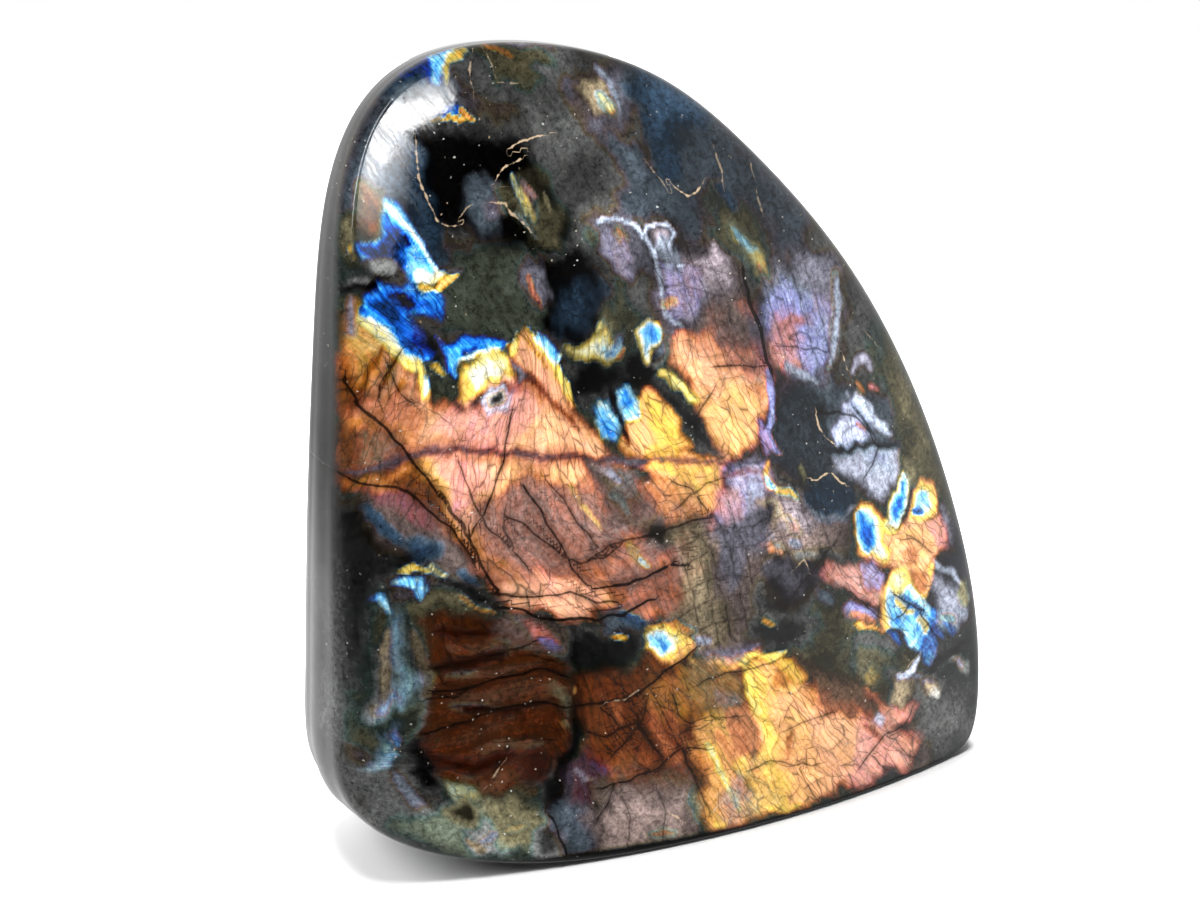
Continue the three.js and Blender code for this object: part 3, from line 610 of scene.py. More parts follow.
    streak("ice", 0.9, 0.16, 0.9, (9, 64.4), (9.8, 62.4), (11.4, 61.4)),
    streak("cream>peach", 0.6, 0.14, 0.8, (11.4, 61.3), (13.6, 60.6), (15.6, 59.2)),
    streak("gold", 0.6, 0.06, 0.8, (9.8, 66.4), (9.2, 65)),
    streak("ash", 0, -0.02, 0.8, (10.8, 65), (11.6, 63), (14, 61.8), (16.6, 60.6)),
    streak("olive", 0, 0.12, 1.2, (16, 64.6), (17, 62.6)),
    patch("steel", 0, -0.03, 1.4, (18, 59.6), (21, 60.4), (25, 58.8), (28, 57), (26, 55.4), (22, 55.2),
        (19, 57)),
    streak("frost_and_glare", 0, -0.33, 0.8, (18, 57.6), (20.6, 55), (25, 54.4), (28.4, 56)),
    # pale lilac domains near the right edge
    patch("slate_and_sheen", 0, 0.05, 1.8, (20.6, 73), (26, 76), (32, 76), (37, 70), (35, 66), (25, 66), (21, 69)),
    patch("pearl", 0.5, 0.24, 1.4, (24, 69.4), (26, 73), (28.6, 76), (30.4, 73.6), (32.6, 70.6), (33, 67.4),
        (27, 67), (24.4, 67.6)),
    streak("frost_and_glare", 0.2, 0.35, 1.8, (29, 76), (32.6, 71.8), (37.6, 68)),
    streak("slate_and_sheen", 0, -0.01, 0.9, (28, 74.4), (31, 71), (33.6, 67.4)),
    streak("frost_and_glare", 0, -0.28, 0.9, (26.6, 76.6), (28, 74.6)),
    streak("pink", 0.5, 0.15, 0.8, (29.2, 70.6), (31, 69.6)),
    patch("cool", 0, 0.56, 1.7, (25, 65.2), (34, 65.2), (38, 63.6), (38, 60), (35, 56.6), (32, 57.4),
        (29, 60.6), (25.6, 63)),
    patch("lilac", 0.2, 0.25, 2, (31, 65), (36, 64.6), (36, 61.6), (32, 62)),
    streak("slate_and_sheen", 0, -0.02, 1.4, (20, 66.8), (28, 66.3), (34, 66.1), (39, 65.4)),
    streak("mist", 0.2, 0.25, 1.4, (28.8, 80), (29.8, 82), (31.6, 82), (32.6, 80.2)),
    streak("orange", 0.45, 0.08, 1.3, (29.4, 78), (30.4, 76.6)),
    streak("pink", 0.6, 0.14, 1.3, (32.2, 77.6), (34.4, 76.2)),
    streak("olive", 0, 0.2, 2, (45.6, 65.6), (48, 62.4)),
    streak("olive", 0, 0.12, 1.4, (41, 71.6), (43.6, 68)),
    patch("olive", 0, 0.2, 1.4, (39.4, 63), (42, 63), (43.6, 60), (41.6, 59)),
    # ringed blue eyes in orange
    patch("copper>orange", 0.9, 0.05, 1.8, (36, 50.4), (44, 51), (49.4, 50), (51, 46.4), (53.6, 42.8),
        (50, 43.4), (47, 42), (44, 40.4), (39, 41), (35.6, 43), (34, 47)),
    patch("bronze", 0.5, 0.05, 1.4, (39, 46), (43, 46), (45, 42), (41, 41.4)),
    patch("salmon", 0.8, 0.08, 1.6, (47, 50), (49.4, 49.6), (52.6, 44), (50, 45)),
    patch("mist", 0.3, 0.12, 1.8, (50, 51), (52, 48.6), (54, 44), (52.6, 44.6)),
    patch("orange>lemon>white", 0.95, 0.05, 1.3, (27.6, 54.6), (29.4, 56.8), (33, 55.6), (35.4, 51.6),
        (35.6, 48), (38, 46), (36, 43.6), (33, 45), (30.4, 46.8), (28.6, 49.6)),
    patch("lemon>ice", 0.95, 0.06, 1, (40, 61), (37.4, 57), (35.6, 53.4), (35.4, 50.6), (38.4, 49.6),
        (41, 51.4), (42, 55), (41.6, 59)),
    patch("orange>lemon", 0.95, 0.06, 1, (42.8, 56.6), (45, 58.4), (47.6, 56.6), (48.6, 54), (48.8, 50.6),
        (45, 49.6), (42, 51), (43, 54.4)),
    patch("ice>azure>blue", 1, 0, 1, (28.2, 54.4), (30, 54.8), (32.8, 51.2), (33.2, 48.2), (31.4, 47.2),
        (29.2, 49.6)),
    patch("ice>azure>blue", 1, 0.02, 1, (40.2, 60), (38.2, 56), (37, 52.8), (38.4, 51.6), (40.6, 52.2),
        (41.4, 56)),
    patch("ice", 0.75, 0.12, 0.9, (44, 55.8), (46, 55.6), (46.6, 52.6), (44.6, 51.8)),
    streak("azure", 0.7, 0.05, 0.8, (43.4, 52.4), (45.4, 51.6)),
    streak("void", 0, 0.03, 1.1, (42.8, 57), (42, 54.4), (40.8, 51.6), (38.6, 49.8), (36.6, 50.4)),
    # rose and violet stripes below the eyes
    patch("salmon", 0.62, 0.16, 1.8, (20.6, 45), (24, 46), (28, 45), (32, 44.4), (35, 41.4), (36, 37),
        (34, 36), (30, 39), (26, 42)),
    patch("violet", 0.5, 0.2, 2, (29.6, 44.6), (33, 44.8), (35.4, 41.6), (34, 40), (31.6, 42)),
    patch("violet>lilac", 0.6, 0.16, 1.2, (25, 38.8), (28, 38.2), (32, 36), (34.8, 33.2), (31, 33.2),
        (27, 36), (25.4, 36.6)),
    streak("copper", 0.5, 0.03, 0.8, (27, 36.2), (30, 34.6), (33, 32.8)),
    streak("gold>orange", 0.95, 0.02, 1.1, (27.4, 34.2), (31, 32.4), (34.8, 31)),
    streak("slate_and_sheen", 0, 0.1, 2, (19.6, 42), (22.4, 40.4)),
    # cluster of broken blues at the lower right
    patch("orange>lemon", 0.9, 0.08, 1.2, (35.4, 38), (37, 41.6), (41, 42.4), (46, 41), (49, 43), (48.8, 38),
        (46.8, 35.4), (42, 36), (38, 31), (35, 30.4)),
    patch("bronze", 0.5, 0.06, 1.2, (42, 41), (45.6, 40.4), (46.4, 37), (43.6, 36.6), (41.6, 38.8)),
    patch("ice>sky", 0.95, 0.05, 1.4, (36.4, 36.4), (37.6, 39), (40.4, 39), (43, 36.8), (46, 35), (48, 32.4),
        (50, 29.6), (47.4, 28), (44.6, 26.4), (42, 27.8), (40, 30), (37.4, 31.6)),
    patch("lemon>white", 0.8, 0.1, 1.2, (37, 40.4), (40, 41.4), (42, 39), (40, 37.8), (38, 38)),
    patch("sky", 0.95, 0.03, 0.9, (37.2, 34.8), (39.4, 33.4), (40.4, 30.6), (38.2, 31.4)),
    patch("sky>ice", 0.95, 0.05, 0.9, (40.8, 31.6), (43.4, 32.4), (45, 29.6), (42.4, 28.4)),
    streak("void", 0, 0.05, 0.6, (39, 37.8), (41.4, 35.4)),
    streak("void", 0, 0.05, 0.6, (43, 35), (46, 32.6)),
    streak("lemon", 0.8, 0.08, 1.1, (44.6, 31.6), (46.6, 29.4), (47, 27.2)),
    streak("lemon", 0.6, 0.08, 0.7, (38.6, 36.4), (41.4, 33.8), (43, 33.4)),
    patch("azure", 0.7, 0.05, 0.8, (47, 33), (49.4, 31.4), (50, 28.6), (47.8, 30)),
    patch("azure", 0.35, 0.1, 1.4, (45.4, 26), (48, 27), (50.6, 24), (50.2, 21.4), (48, 22), (46, 24)),
    patch("cool", 0, 0.42, 2, (47.6, 41.4), (51, 40), (55, 36), (57.6, 32), (58, 29.6), (55, 28), (51, 29),
        (49, 32), (47.6, 36)),
    streak("azure", 0.4, 0.1, 1.4, (50.6, 30.4), (52.6, 28), (54.6, 26)),
    streak("azure", 0.25, 0.08, 1.4, (48.6, 28.6), (51.4, 25.8)),
    streak("foam", 0.35, 0.2, 1, (51, 29.8), (54.6, 28.6)),
    streak("frost_and_glare", 0.2, 0.15, 1.2, (48.4, 42.4), (50.6, 40.4), (53.6, 38.6), (56.6, 35.4)),
    streak("olive", 0.1, 0.3, 2, (57, 35), (58, 31.4)),
    streak("frost_and_glare", 0.1, -0.25, 1.3, (55, 30.6), (58.6, 29.6)),
    streak("azure", 0.3, 0.05, 1.4, (36.4, 30.4), (39, 27.8)),
    # grey lamellar stone of the lower middle
    patch("mauve", 0.2, 0.07, 4, (-6, 58), (0, 57), (6, 54), (9, 49), (10, 42), (8, 37), (2, 35), (-4, 37),
        (-6, 44)),
    patch("fern", 0, 0.05, 2.6, (0, 57), (6, 58), (7, 53), (3, 50), (-1, 52)),
    patch("ash", 0.2, 0.1, 4.5, (-9, 57), (-4, 57), (-2, 50), (-3, 41), (-8, 41), (-11, 48)),
    patch("sand", 0.5, 0.2, 4.4, (-9.6, 57), (-4.4, 58), (-2.4, 53), (-1.8, 46), (-2.6, 38.6), (-6, 38),
        (-8, 44)),
    streak("sand", 0.7, 0.3, 2, (-6.6, 56), (-5, 51), (-4.2, 46), (-5, 40)),
    streak("sand", 0.9, 0.26, 1.4, (-8.8, 56), (-7.2, 50), (-7.2, 44)),
    patch("mauve", 0.6, 0.1, 3, (-24, 55), (-13, 56), (-9.6, 50), (-11, 45), (-18, 46), (-24, 50)),
    patch("mist", 0, 0, 3, (-2, 57), (5, 58.6), (9, 53), (8, 44), (1, 45)),
    patch("mauve", 0.2, 0.06, 3, (6, 50), (11, 49), (10, 42), (7, 40), (3, 43)),
    patch("void", 0, 0.012, 2.2, (11, 50), (13, 47.6), (18, 47.6), (23, 48), (24, 45), (20, 43), (15, 39),
        (10, 38), (8.4, 43)),
    patch("void", 0, 0.01, 2, (6, 37), (12, 40), (20, 38), (18, 33), (12, 33)),
    patch("mist", 0, -0.04, 2, (11, 47), (18, 47.4), (20, 44), (14, 42)),
    streak("gold>orange", 0.55, 0.1, 1.2, (8.4, 38.6), (10, 37.6)),
    patch("void", 0, 0.004, 1.6, (-27, 43), (-22, 41), (-15, 40.2), (-14.4, 37), (-18, 36), (-25, 34.6),
        (-27, 38)),
    patch("slate_and_sheen", 0, 0.06, 1.4, (-21.6, 42), (-20, 44.6), (-15, 44), (-13.6, 42), (-18, 41)),
    streak("navy", 0.4, 0.05, 1.2, (-19, 43.6), (-15.6, 41.8)),
    streak("gold", 0.5, 0.04, 0.8, (-21.6, 40.8), (-18, 39.6)),
    streak("amber", 0.4, 0.04, 0.8, (-14.6, 40.8), (-9.6, 41), (-6, 39)),
    patch("gold>cream", 0.85, 0.05, 1, (-11, 41), (-8.6, 39.4), (-6, 36.6), (-6.6, 34.6), (-9.4, 33.6),
        (-11, 36)),
    patch("lemon>ice>sky", 0.8, 0.08, 1.2, (-15, 40), (-12.6, 41), (-10.4, 40), (-9, 37.4), (-9.6, 33.6),
        (-12.4, 34.6), (-14.6, 37)),
    patch("ice>azure", 0.85, 0.03, 0.8, (-14, 39.2), (-11.6, 39.6), (-10.2, 37), (-10.2, 34.6), (-12.4, 35.6),
        (-14, 37.4)),
    streak("ice", 0.4, 0.1, 1, (-6.8, 34), (-6, 33)),
    streak("frost_and_glare", 0, -0.1, 0.9, (-5.6, 37.6), (-3.6, 37.2)),
    patch("violet", 0.36, 0.16, 1.8, (-5.6, 36), (-2, 35.4), (3, 34), (6.6, 34.4), (4, 32), (0, 31.4),
        (-4, 32)),
    streak("salmon", 0.7, 0.06, 0.9, (-3, 31.4), (1, 31.4), (5, 33), (7.6, 33.6)),
    # the purple band goes on to the right, and the middle of the copper field is smoky
    streak("mist", 0.25, -0.05, 1.1, (-26, 71), (-18, 70.2), (-12, 69.4), (-5, 68.3), (1, 67.4), (9, 66.6)),
    patch("mauve", 0.66, 0.13, 5, (-44, 62), (-36, 68), (-25, 67), (-17, 60), (-17, 52), (-26, 50.6),
        (-38, 52)),
    # brown field of the lower left
    patch("umber", 0.04, 0.006, 2, (-52.6, 47.4), (-45, 47.4), (-38, 43.4), (-32, 40), (-28.6, 37),
        (-27.8, 31), (-28.4, 25), (-30, 20), (-33.6, 15.6), (-40, 14.6), (-46, 14), (-50.4, 17), (-53.4, 23),
        (-54, 28), (-52.4, 33), (-51.6, 40)),
    patch("rust", 0.9, 0.01, 1.6, (-50, 33.6), (-42, 34), (-36, 35.4), (-31, 34), (-30.6, 31), (-38, 31),
        (-49, 30)),
    patch("rust", 1, 0.04, 1.6, (-41, 43.2), (-33, 41), (-30.4, 38.4), (-36, 39.4), (-43, 41)),
    streak("rust", 0.9, -0.005, 2.4, (-50, 25), (-44, 26.4), (-37, 28)),
    streak("rust", 0.9, 0.02, 1.4, (-49, 36.6), (-42, 36.4), (-34, 37.4)),
    streak("rust", 0.9, 0.02, 1.6, (-49, 41.6), (-44, 41), (-40, 41.4)),
    streak("rust", 0.9, 0.03, 1.4, (-46, 23.6), (-40, 24), (-34, 22.6)),
    patch("rust", 1, 0.035, 1.6, (-47, 18.6), (-41, 19.6), (-39, 17), (-41, 15), (-46, 15.4)),
    patch("void", 0.5, 0.002, 1.6, (-38, 21), (-34, 21), (-32, 18), (-36, 16.6)),
    streak("void", 0.3, 0, 0.8, (-46, 30.6), (-39, 29.8), (-33, 30.4)),
    streak("void", 0.3, 0, 2, (-51.4, 38.6), (-46, 38.2), (-40, 39.4)),
    streak("void", 0.4, 0, 1.4, (-50, 44.4), (-44, 43.4), (-39, 42.8)),
    streak("void", 0.5, 0, 2.4, (-51.6, 22), (-46, 20.8), (-39, 21.6)),
    streak("void", 0.5, 0, 1, (-48, 31.4), (-42, 30.4), (-38, 28.6)),
    patch("mauve", 0.6, 0.01, 1.8, (-42, 43.8), (-37, 45.6), (-32, 41.4), (-30.6, 39.2), (-36, 40)),
    streak("salmon>pink", 0.4, 0.02, 2.2, (-37.4, 45.4), (-34.4, 43), (-31.6, 40.6)),
    streak("violet", 0.22, 0.02, 1.2, (-34, 41.6), (-31, 39.4)),
    streak("olive", 0.4, 0.05, 2.2, (-31.4, 33.4), (-29.6, 30.6), (-29, 28)),
    streak("ice", 0.35, 0.1, 1.1, (-27.8, 32.6), (-27.5, 31)),
    streak("lemon", 0.12, 0.05, 1.2, (-29.8, 26.4), (-28.8, 24.6)),
    patch("cream", 0.2, 0.16, 1.2, (-49.4, 17.4), (-47, 17), (-44.6, 14.6), (-46, 13.6), (-48.6, 15)),
    patch("void", 0, 0.001, 2, (-57, 25.4), (-53, 26), (-51, 22), (-51.6, 18), (-55, 19.4)),
    streak("void", 0, 0.002, 2.6, (-28, 43), (-27.4, 36), (-27, 29), (-28.6, 22), (-31, 17.6), (-32.4, 13),
        (-32, 10.6)),
    # left column
    patch("void", 0, 0.006, 2, (-62, 66), (-58.4, 63.6), (-55, 58), (-52, 56.4), (-54, 54.6), (-58, 52.6),
        (-62, 50), (-66, 48), (-66, 62)),
    patch("void", 0, 0.008, 2, (-67, 52), (-61, 52), (-61, 42), (-62, 34), (-66, 35)),
    patch("mauve", 0.3, 0.06, 2.4, (-59, 67.4), (-54, 67.6), (-49.4, 62.6), (-46, 57), (-45.6, 53), (-49, 57),
        (-54, 60), (-57, 63)),
    streak("pink", 0.2, 0.05, 2, (-58, 67), (-54, 66.4), (-50, 61.4)),
    streak("steel", 0, 0.02, 1.3, (-60, 65.4), (-58, 63.6), (-56, 60.6)),
    patch("navy", 0.4, 0.01, 2, (-56, 60), (-53, 60), (-50.6, 57.4), (-53, 56.4)),
    streak("navy", 0.3, 0.01, 1.6, (-45, 52.6), (-43.6, 50)),
    patch("ice>azure", 0.95, 0.03, 0.9, (-57, 53.2), (-54, 54.8), (-51.6, 54), (-50.8, 51.6), (-51.8, 50.2),
        (-53, 52.2), (-55.6, 52.4)),
    streak("lemon", 0.5, 0.06, 0.7, (-56, 54.8), (-53, 55.6), (-50.4, 54.4)),
    streak("cream>gold", 0.8, 0.1, 1, (-50.4, 55.4), (-49, 54), (-47.8, 53)),
    streak("aqua", 0.75, 0.06, 1.8, (-59, 50), (-58.2, 47.6)),
    streak("frost_and_glare", 0, -0.2, 0.6, (-59.2, 50.2), (-58.6, 48.4)),
    patch("olive", 0, -0.005, 2.2, (-62, 46.6), (-58, 48), (-55, 46), (-55, 36), (-58, 30), (-61, 27),
        (-63, 28), (-61, 36)),
    streak("olive", 0, 0.06, 2.4, (-54, 48.6), (-49, 50), (-46, 49)),
    streak("amber", 0.35, 0.06, 0.8, (-46, 49.6), (-43.4, 47.6), (-40.6, 46)),
    streak("void", 0, 0.003, 1.4, (-49, 52), (-46, 51.4), (-43.4, 49.2), (-41, 48)),
    streak("teal", 0, 0, 3.2, (-56.2, 48), (-56.2, 42), (-55.4, 37)),
    patch("teal", 0, 0.02, 2, (-57, 38.6), (-52.4, 38.4), (-51.4, 35), (-54, 31), (-60.6, 29.6),
        (-60, 32.6), (-57.6, 35)),
    streak("foam", 0.1, 0.16, 2.4, (-55.4, 34.8), (-58, 33), (-60.6, 30.6)),
    streak("aqua", 0.08, 0.09, 3.2, (-56.6, 47), (-56.5, 41.4), (-55.4, 36)),
    streak("aqua", 0.12, 0.22, 4.2, (-53.6, 37), (-57, 33.8), (-59.8, 31.4)),
    streak("ice", 0.3, 0.16, 1.4, (-57.4, 34), (-59.6, 31.6)),
    streak("sand", 0.5, 0.12, 1.2, (-58.2, 44), (-58, 38), (-58.8, 34), (-61.4, 31), (-60.4, 29)),
    streak("sand", 0.5, 0.04, 1.4, (-53.6, 45), (-52.4, 39), (-51.6, 35), (-53, 31), (-53.8, 27)),
    patch("fern", 0, -0.02, 1.4, (-60, 29.6), (-56, 31), (-53.4, 31), (-54, 28), (-58, 26.4), (-60.4, 28)),
    streak("aqua", 0.16, 0.06, 3, (-58, 28.4), (-59, 25.8)),
    streak("sky", 0.3, 0.05, 1.2, (-58.4, 27.6), (-57.4, 25.8)),
    streak("foam", 0.2, 0.14, 2.4, (-59.4, 24.4), (-62, 21)),
    streak("aqua", 0.25, 0.16, 2.2, (-58.6, 24.4), (-61, 21.6)),
    patch("void", 0, 0.006, 2, (-66.5, 51), (-62, 51), (-61.4, 43), (-62, 36), (-65.6, 36)),
    patch("ash", 0, 0.055, 2.4, (-66, 24), (-62, 23), (-58, 21), (-54, 14), (-50, 10), (-56, 7), (-63, 13)),
    # painted highlight: a pale streak where the rounded lower-left corner catches the light
    streak("frost_and_glare", 0, -0.3, 1.5, (-58.4, 20.6), (-57, 17.6), (-55, 15), (-52.8, 13)),
    patch("ash", 0, 0.14, 2, (-55, 12.4), (-50, 13.4), (-45, 13), (-50, 9), (-55, 9.4)),
    # pale foot of the left half
    patch("fern", 0, 0.22, 2.2, (-56, 11), (-49, 13.4), (-43, 13.6), (-36, 12.4), (-33, 11), (-31, 5),
        (-30.6, 2), (-42, 3), (-52, 5)),
    patch("ash", 0, 0.24, 1.6, (-46, 8.6), (-41, 9.6), (-38.6, 5), (-44, 3.6)),
    patch("olive", 0, 0.14, 2, (-42, 12), (-38, 12.6), (-34.6, 9), (-37, 6), (-41, 7)),
    patch("olive", 0, 0, 1.2, (-50, 13), (-47, 14), (-45.4, 12), (-47.4, 10.4)),
    streak("lemon", 0.15, 0.16, 1.2, (-40, 8), (-37, 9)),
    patch("ash", 0, 0, 1.4, (-35.6, 8), (-32.6, 9), (-31, 3), (-35, 3)),
    streak("frost_and_glare", 0, -0.2, 0.8, (-45, 7), (-42, 7.6)),
    streak("sand", 0.25, 0.3, 1.2, (-47, 6.6), (-44.6, 5)),
    patch("void", 0, 0.004, 1.4, (-34, 17), (-30, 17), (-30, 12), (-33, 12)),
    patch("slate_and_sheen", 0, 0.06, 1.6, (-31.4, 11), (-28, 10.6), (-24.6, 9.6), (-23.6, 5), (-25, 1.8), (-30, 2)),
    # amber and mauve stone of the lower middle
    patch("umber", 0.085, 0.012, 3, (-27, 35), (-16, 35), (-8, 34.6), (-4, 30), (-4, 23), (-6, 12),
        (-15, 11), (-23, 13), (-27, 20)),
    patch("amber", 0.26, 0.02, 3.4, (-14.6, 29), (-8, 31.4), (-5, 28), (-5.6, 22.6), (-9.6, 21.6), (-14, 24)),
    patch("bronze", 0.22, 0.03, 3, (-24, 17.6), (-18, 19.4), (-14.4, 18), (-15, 13.6), (-22, 13.4)),
    streak("bronze", 0.22, 0.04, 2.2, (-14.6, 24.6), (-11, 19), (-8.6, 15)),
    streak("bronze", 0.2, 0.04, 1.6, (-11, 24.6), (-8, 19.4), (-6, 15)),
    streak("bronze", 0.18, 0.04, 1.6, (-24, 31), (-21, 28), (-20, 24)),
    patch("plum", 0.08, 0.012, 1.8, (-30, 18.4), (-27, 19.8), (-24.6, 16.8), (-23, 12.6), (-25, 9.8),
        (-29.4, 11)),
    streak("mist", 0.5, 0.04, 0.8, (-28, 17.6), (-26.6, 15.6), (-25.2, 15.2)),
    patch("sand", 0.6, 0.07, 3, (-24, 13), (-16, 14), (-8, 12.6), (-5, 9), (-10, 8), (-24, 8)),
    patch("mauve", 0.4, 0.32, 3, (-25.4, 8.6), (-18, 11), (-9, 9.6), (-5, 8), (-4, 2.6), (-8, 1.4),
        (-25.4, 1.4)),
    patch("mauve", 0.1, 0.1, 1.8, (-9, 9), (-5.6, 10.6), (-4.4, 6), (-5.6, 1.8), (-9, 1.6)),
    streak("peach", 0.4, 0.1, 1.2, (-14.6, 2.8), (-10.6, 3)),
    # gold, orange and salmon field of the lower right
    patch("amber", 0.62, 0.1, 3, (-6, 24), (2, 25), (5, 16), (6, 8), (5, 2), (-2, 2), (-4, 8), (-6.6, 16)),
    patch("gold", 0.14, 0.07, 3, (-6, 32), (2, 31.4), (4.4, 25), (1, 22), (-4, 23), (-7, 26)),
    streak("ash", 0.6, 0.06, 1.8, (-2, 26.6), (1.6, 25), (5, 22.6)),
    streak("cream", 0.7, 0.1, 0.8, (-4, 18), (0, 10), (3, 4)),
    streak("cream", 0.75, 0.1, 0.8, (0, 20), (4, 12), (8, 5)),
    streak("bronze", 0.4, 0.12, 1, (-2, 20), (2, 12), (5, 6)),
    patch("amber", 0.85, 0.04, 2, (3, 32), (8, 32), (13, 31.6), (16, 27), (12, 14), (12, 2), (6, 2),
        (6, 12), (4, 24)),
    patch("amber", 0.9, 0.05, 3, (3, 30), (8, 31), (9, 24), (12, 16), (16, 6), (15, 2), (9, 2), (8, 10),
        (5, 18)),
    streak("gold", 0.9, 0.05, 3, (5, 30), (6.4, 23), (8.4, 15)),
    streak("lemon>gold", 0.92, 0.02, 1.2, (3.6, 31), (4.6, 27), (6.4, 22.6)),
    patch("orange", 0.9, 0.05, 3.4, (10, 30), (17, 26.6), (25, 18), (31, 15), (31, 2), (15, 2), (12, 14)),
    patch("orange", 0.6, 0.05, 2.4, (14, 28), (18, 25.4), (24, 18.6), (20, 18), (15, 22)),
    patch("amber", 0.4, 0.02, 2, (8.8, 31), (14, 30), (15, 26), (9.6, 25.6)),
    patch("peach", 0.93, 0.06, 4, (22, 20), (31, 15.6), (35, 12), (35, 2), (24, 2), (22, 12)),
    patch("salmon", 0.85, 0.08, 3, (30, 15.6), (36, 13.6), (43, 11), (46, 6), (43, 2.4), (30, 2.4)),
    patch("mauve", 0.4, 0.06, 5, (45, 12), (51, 12), (51, 3), (44, 2)),
    patch("salmon", 0.7, 0.08, 1.4, (31, 20.6), (34, 19), (39, 14.6), (45.6, 14.6), (43, 11.6), (37, 13)),
    patch("bronze", 0.34, 0.12, 1, (0, 23.4), (3.6, 23.8), (8.8, 13.6), (5.4, 13.4), (1, 15.6)),
    patch("gold", 0.5, 0.26, 2.8, (3, 12), (8, 13), (12, 8), (11, 3), (7, 3), (5, 7)),
    patch("ash", 0.3, 0.16, 2.2, (-1, 7), (3, 8), (6, 4.6), (6.6, 1.6), (0, 1.6)),
    streak("gold", 1, 0.04, 1.6, (8.6, 2.6), (12, 2), (15.6, 2.2)),
    streak("gold", 0.8, 0.08, 1, (-1.6, 3), (-0.4, 2.2)),
    patch("rust", 0.2, 0.07, 2, (15.6, 30), (20, 26), (27, 23), (33, 20), (36.4, 15), (34.6, 12),
        (31, 15.4), (25.6, 17.6), (20, 22.4)),
    streak("lemon>gold", 0.95, 0.04, 1, (3, 32), (6, 33), (9, 31.6), (12.6, 32.2)),
    streak("gold", 0.7, 0.04, 1.6, (11.6, 31), (13.6, 29), (16.6, 26.4)),
    streak("rust", 0.25, 0.1, 1.4, (31, 14), (33.4, 12), (35, 10)),
    patch("frost_and_glare", 0.3, 0.1, 0.8, (33.4, 14), (34.6, 15.2), (36, 14), (35.4, 12.6)),
    # smoky lower right corner
    patch("olive", 0, 0.06, 2, (30, 27), (34, 26), (36, 22), (33, 20)),
    patch("lemon", 0.2, 0.1, 1.8, (31, 23.6), (33, 24.4), (34.6, 22), (32.6, 21)),
    patch("ash", 0, 0.1, 2.4, (38, 22), (46, 20), (53, 17), (50, 13), (44, 14.4)),
    patch("sand", 0.1, 0.55, 1.6, (37.4, 17), (39.6, 20.2), (43, 20), (42.4, 16.4), (39.6, 14.6)),
    streak("frost_and_glare", 0.3, 0.5, 2.2, (46.4, 18.4), (48, 16.6), (49.8, 14.4)),
    streak("sand", 0.6, 0.8, 1.6, (46.8, 17.4), (49.4, 15.4)),
    streak("teal", 0, 0.4, 2.6, (54.8, 20.4), (57.4, 19), (59.4, 17.4)),
    streak("frost_and_glare", 0.1, 0.3, 1.2, (55.2, 20.6), (57.2, 18.8)),
    streak("void", 0, 0.012, 2.6, (46, 20.4), (53, 21.6), (61, 23.4)),
    patch("ash", 0, 0.06, 5, (50, 13), (55, 13), (61, 11), (61, 4), (53, 2), (49, 5)),
    patch("frost_and_glare", 0, 0.5, 0.4, (38.8, 21.4), (40.6, 22), (43, 23.8), (44.8, 25), (43.6, 22.4), (42.4, 20.4),
        (39.6, 20)),
    streak("frost_and_glare", 0, -0.1, 1, (43, 20.8), (44.6, 20)),
)

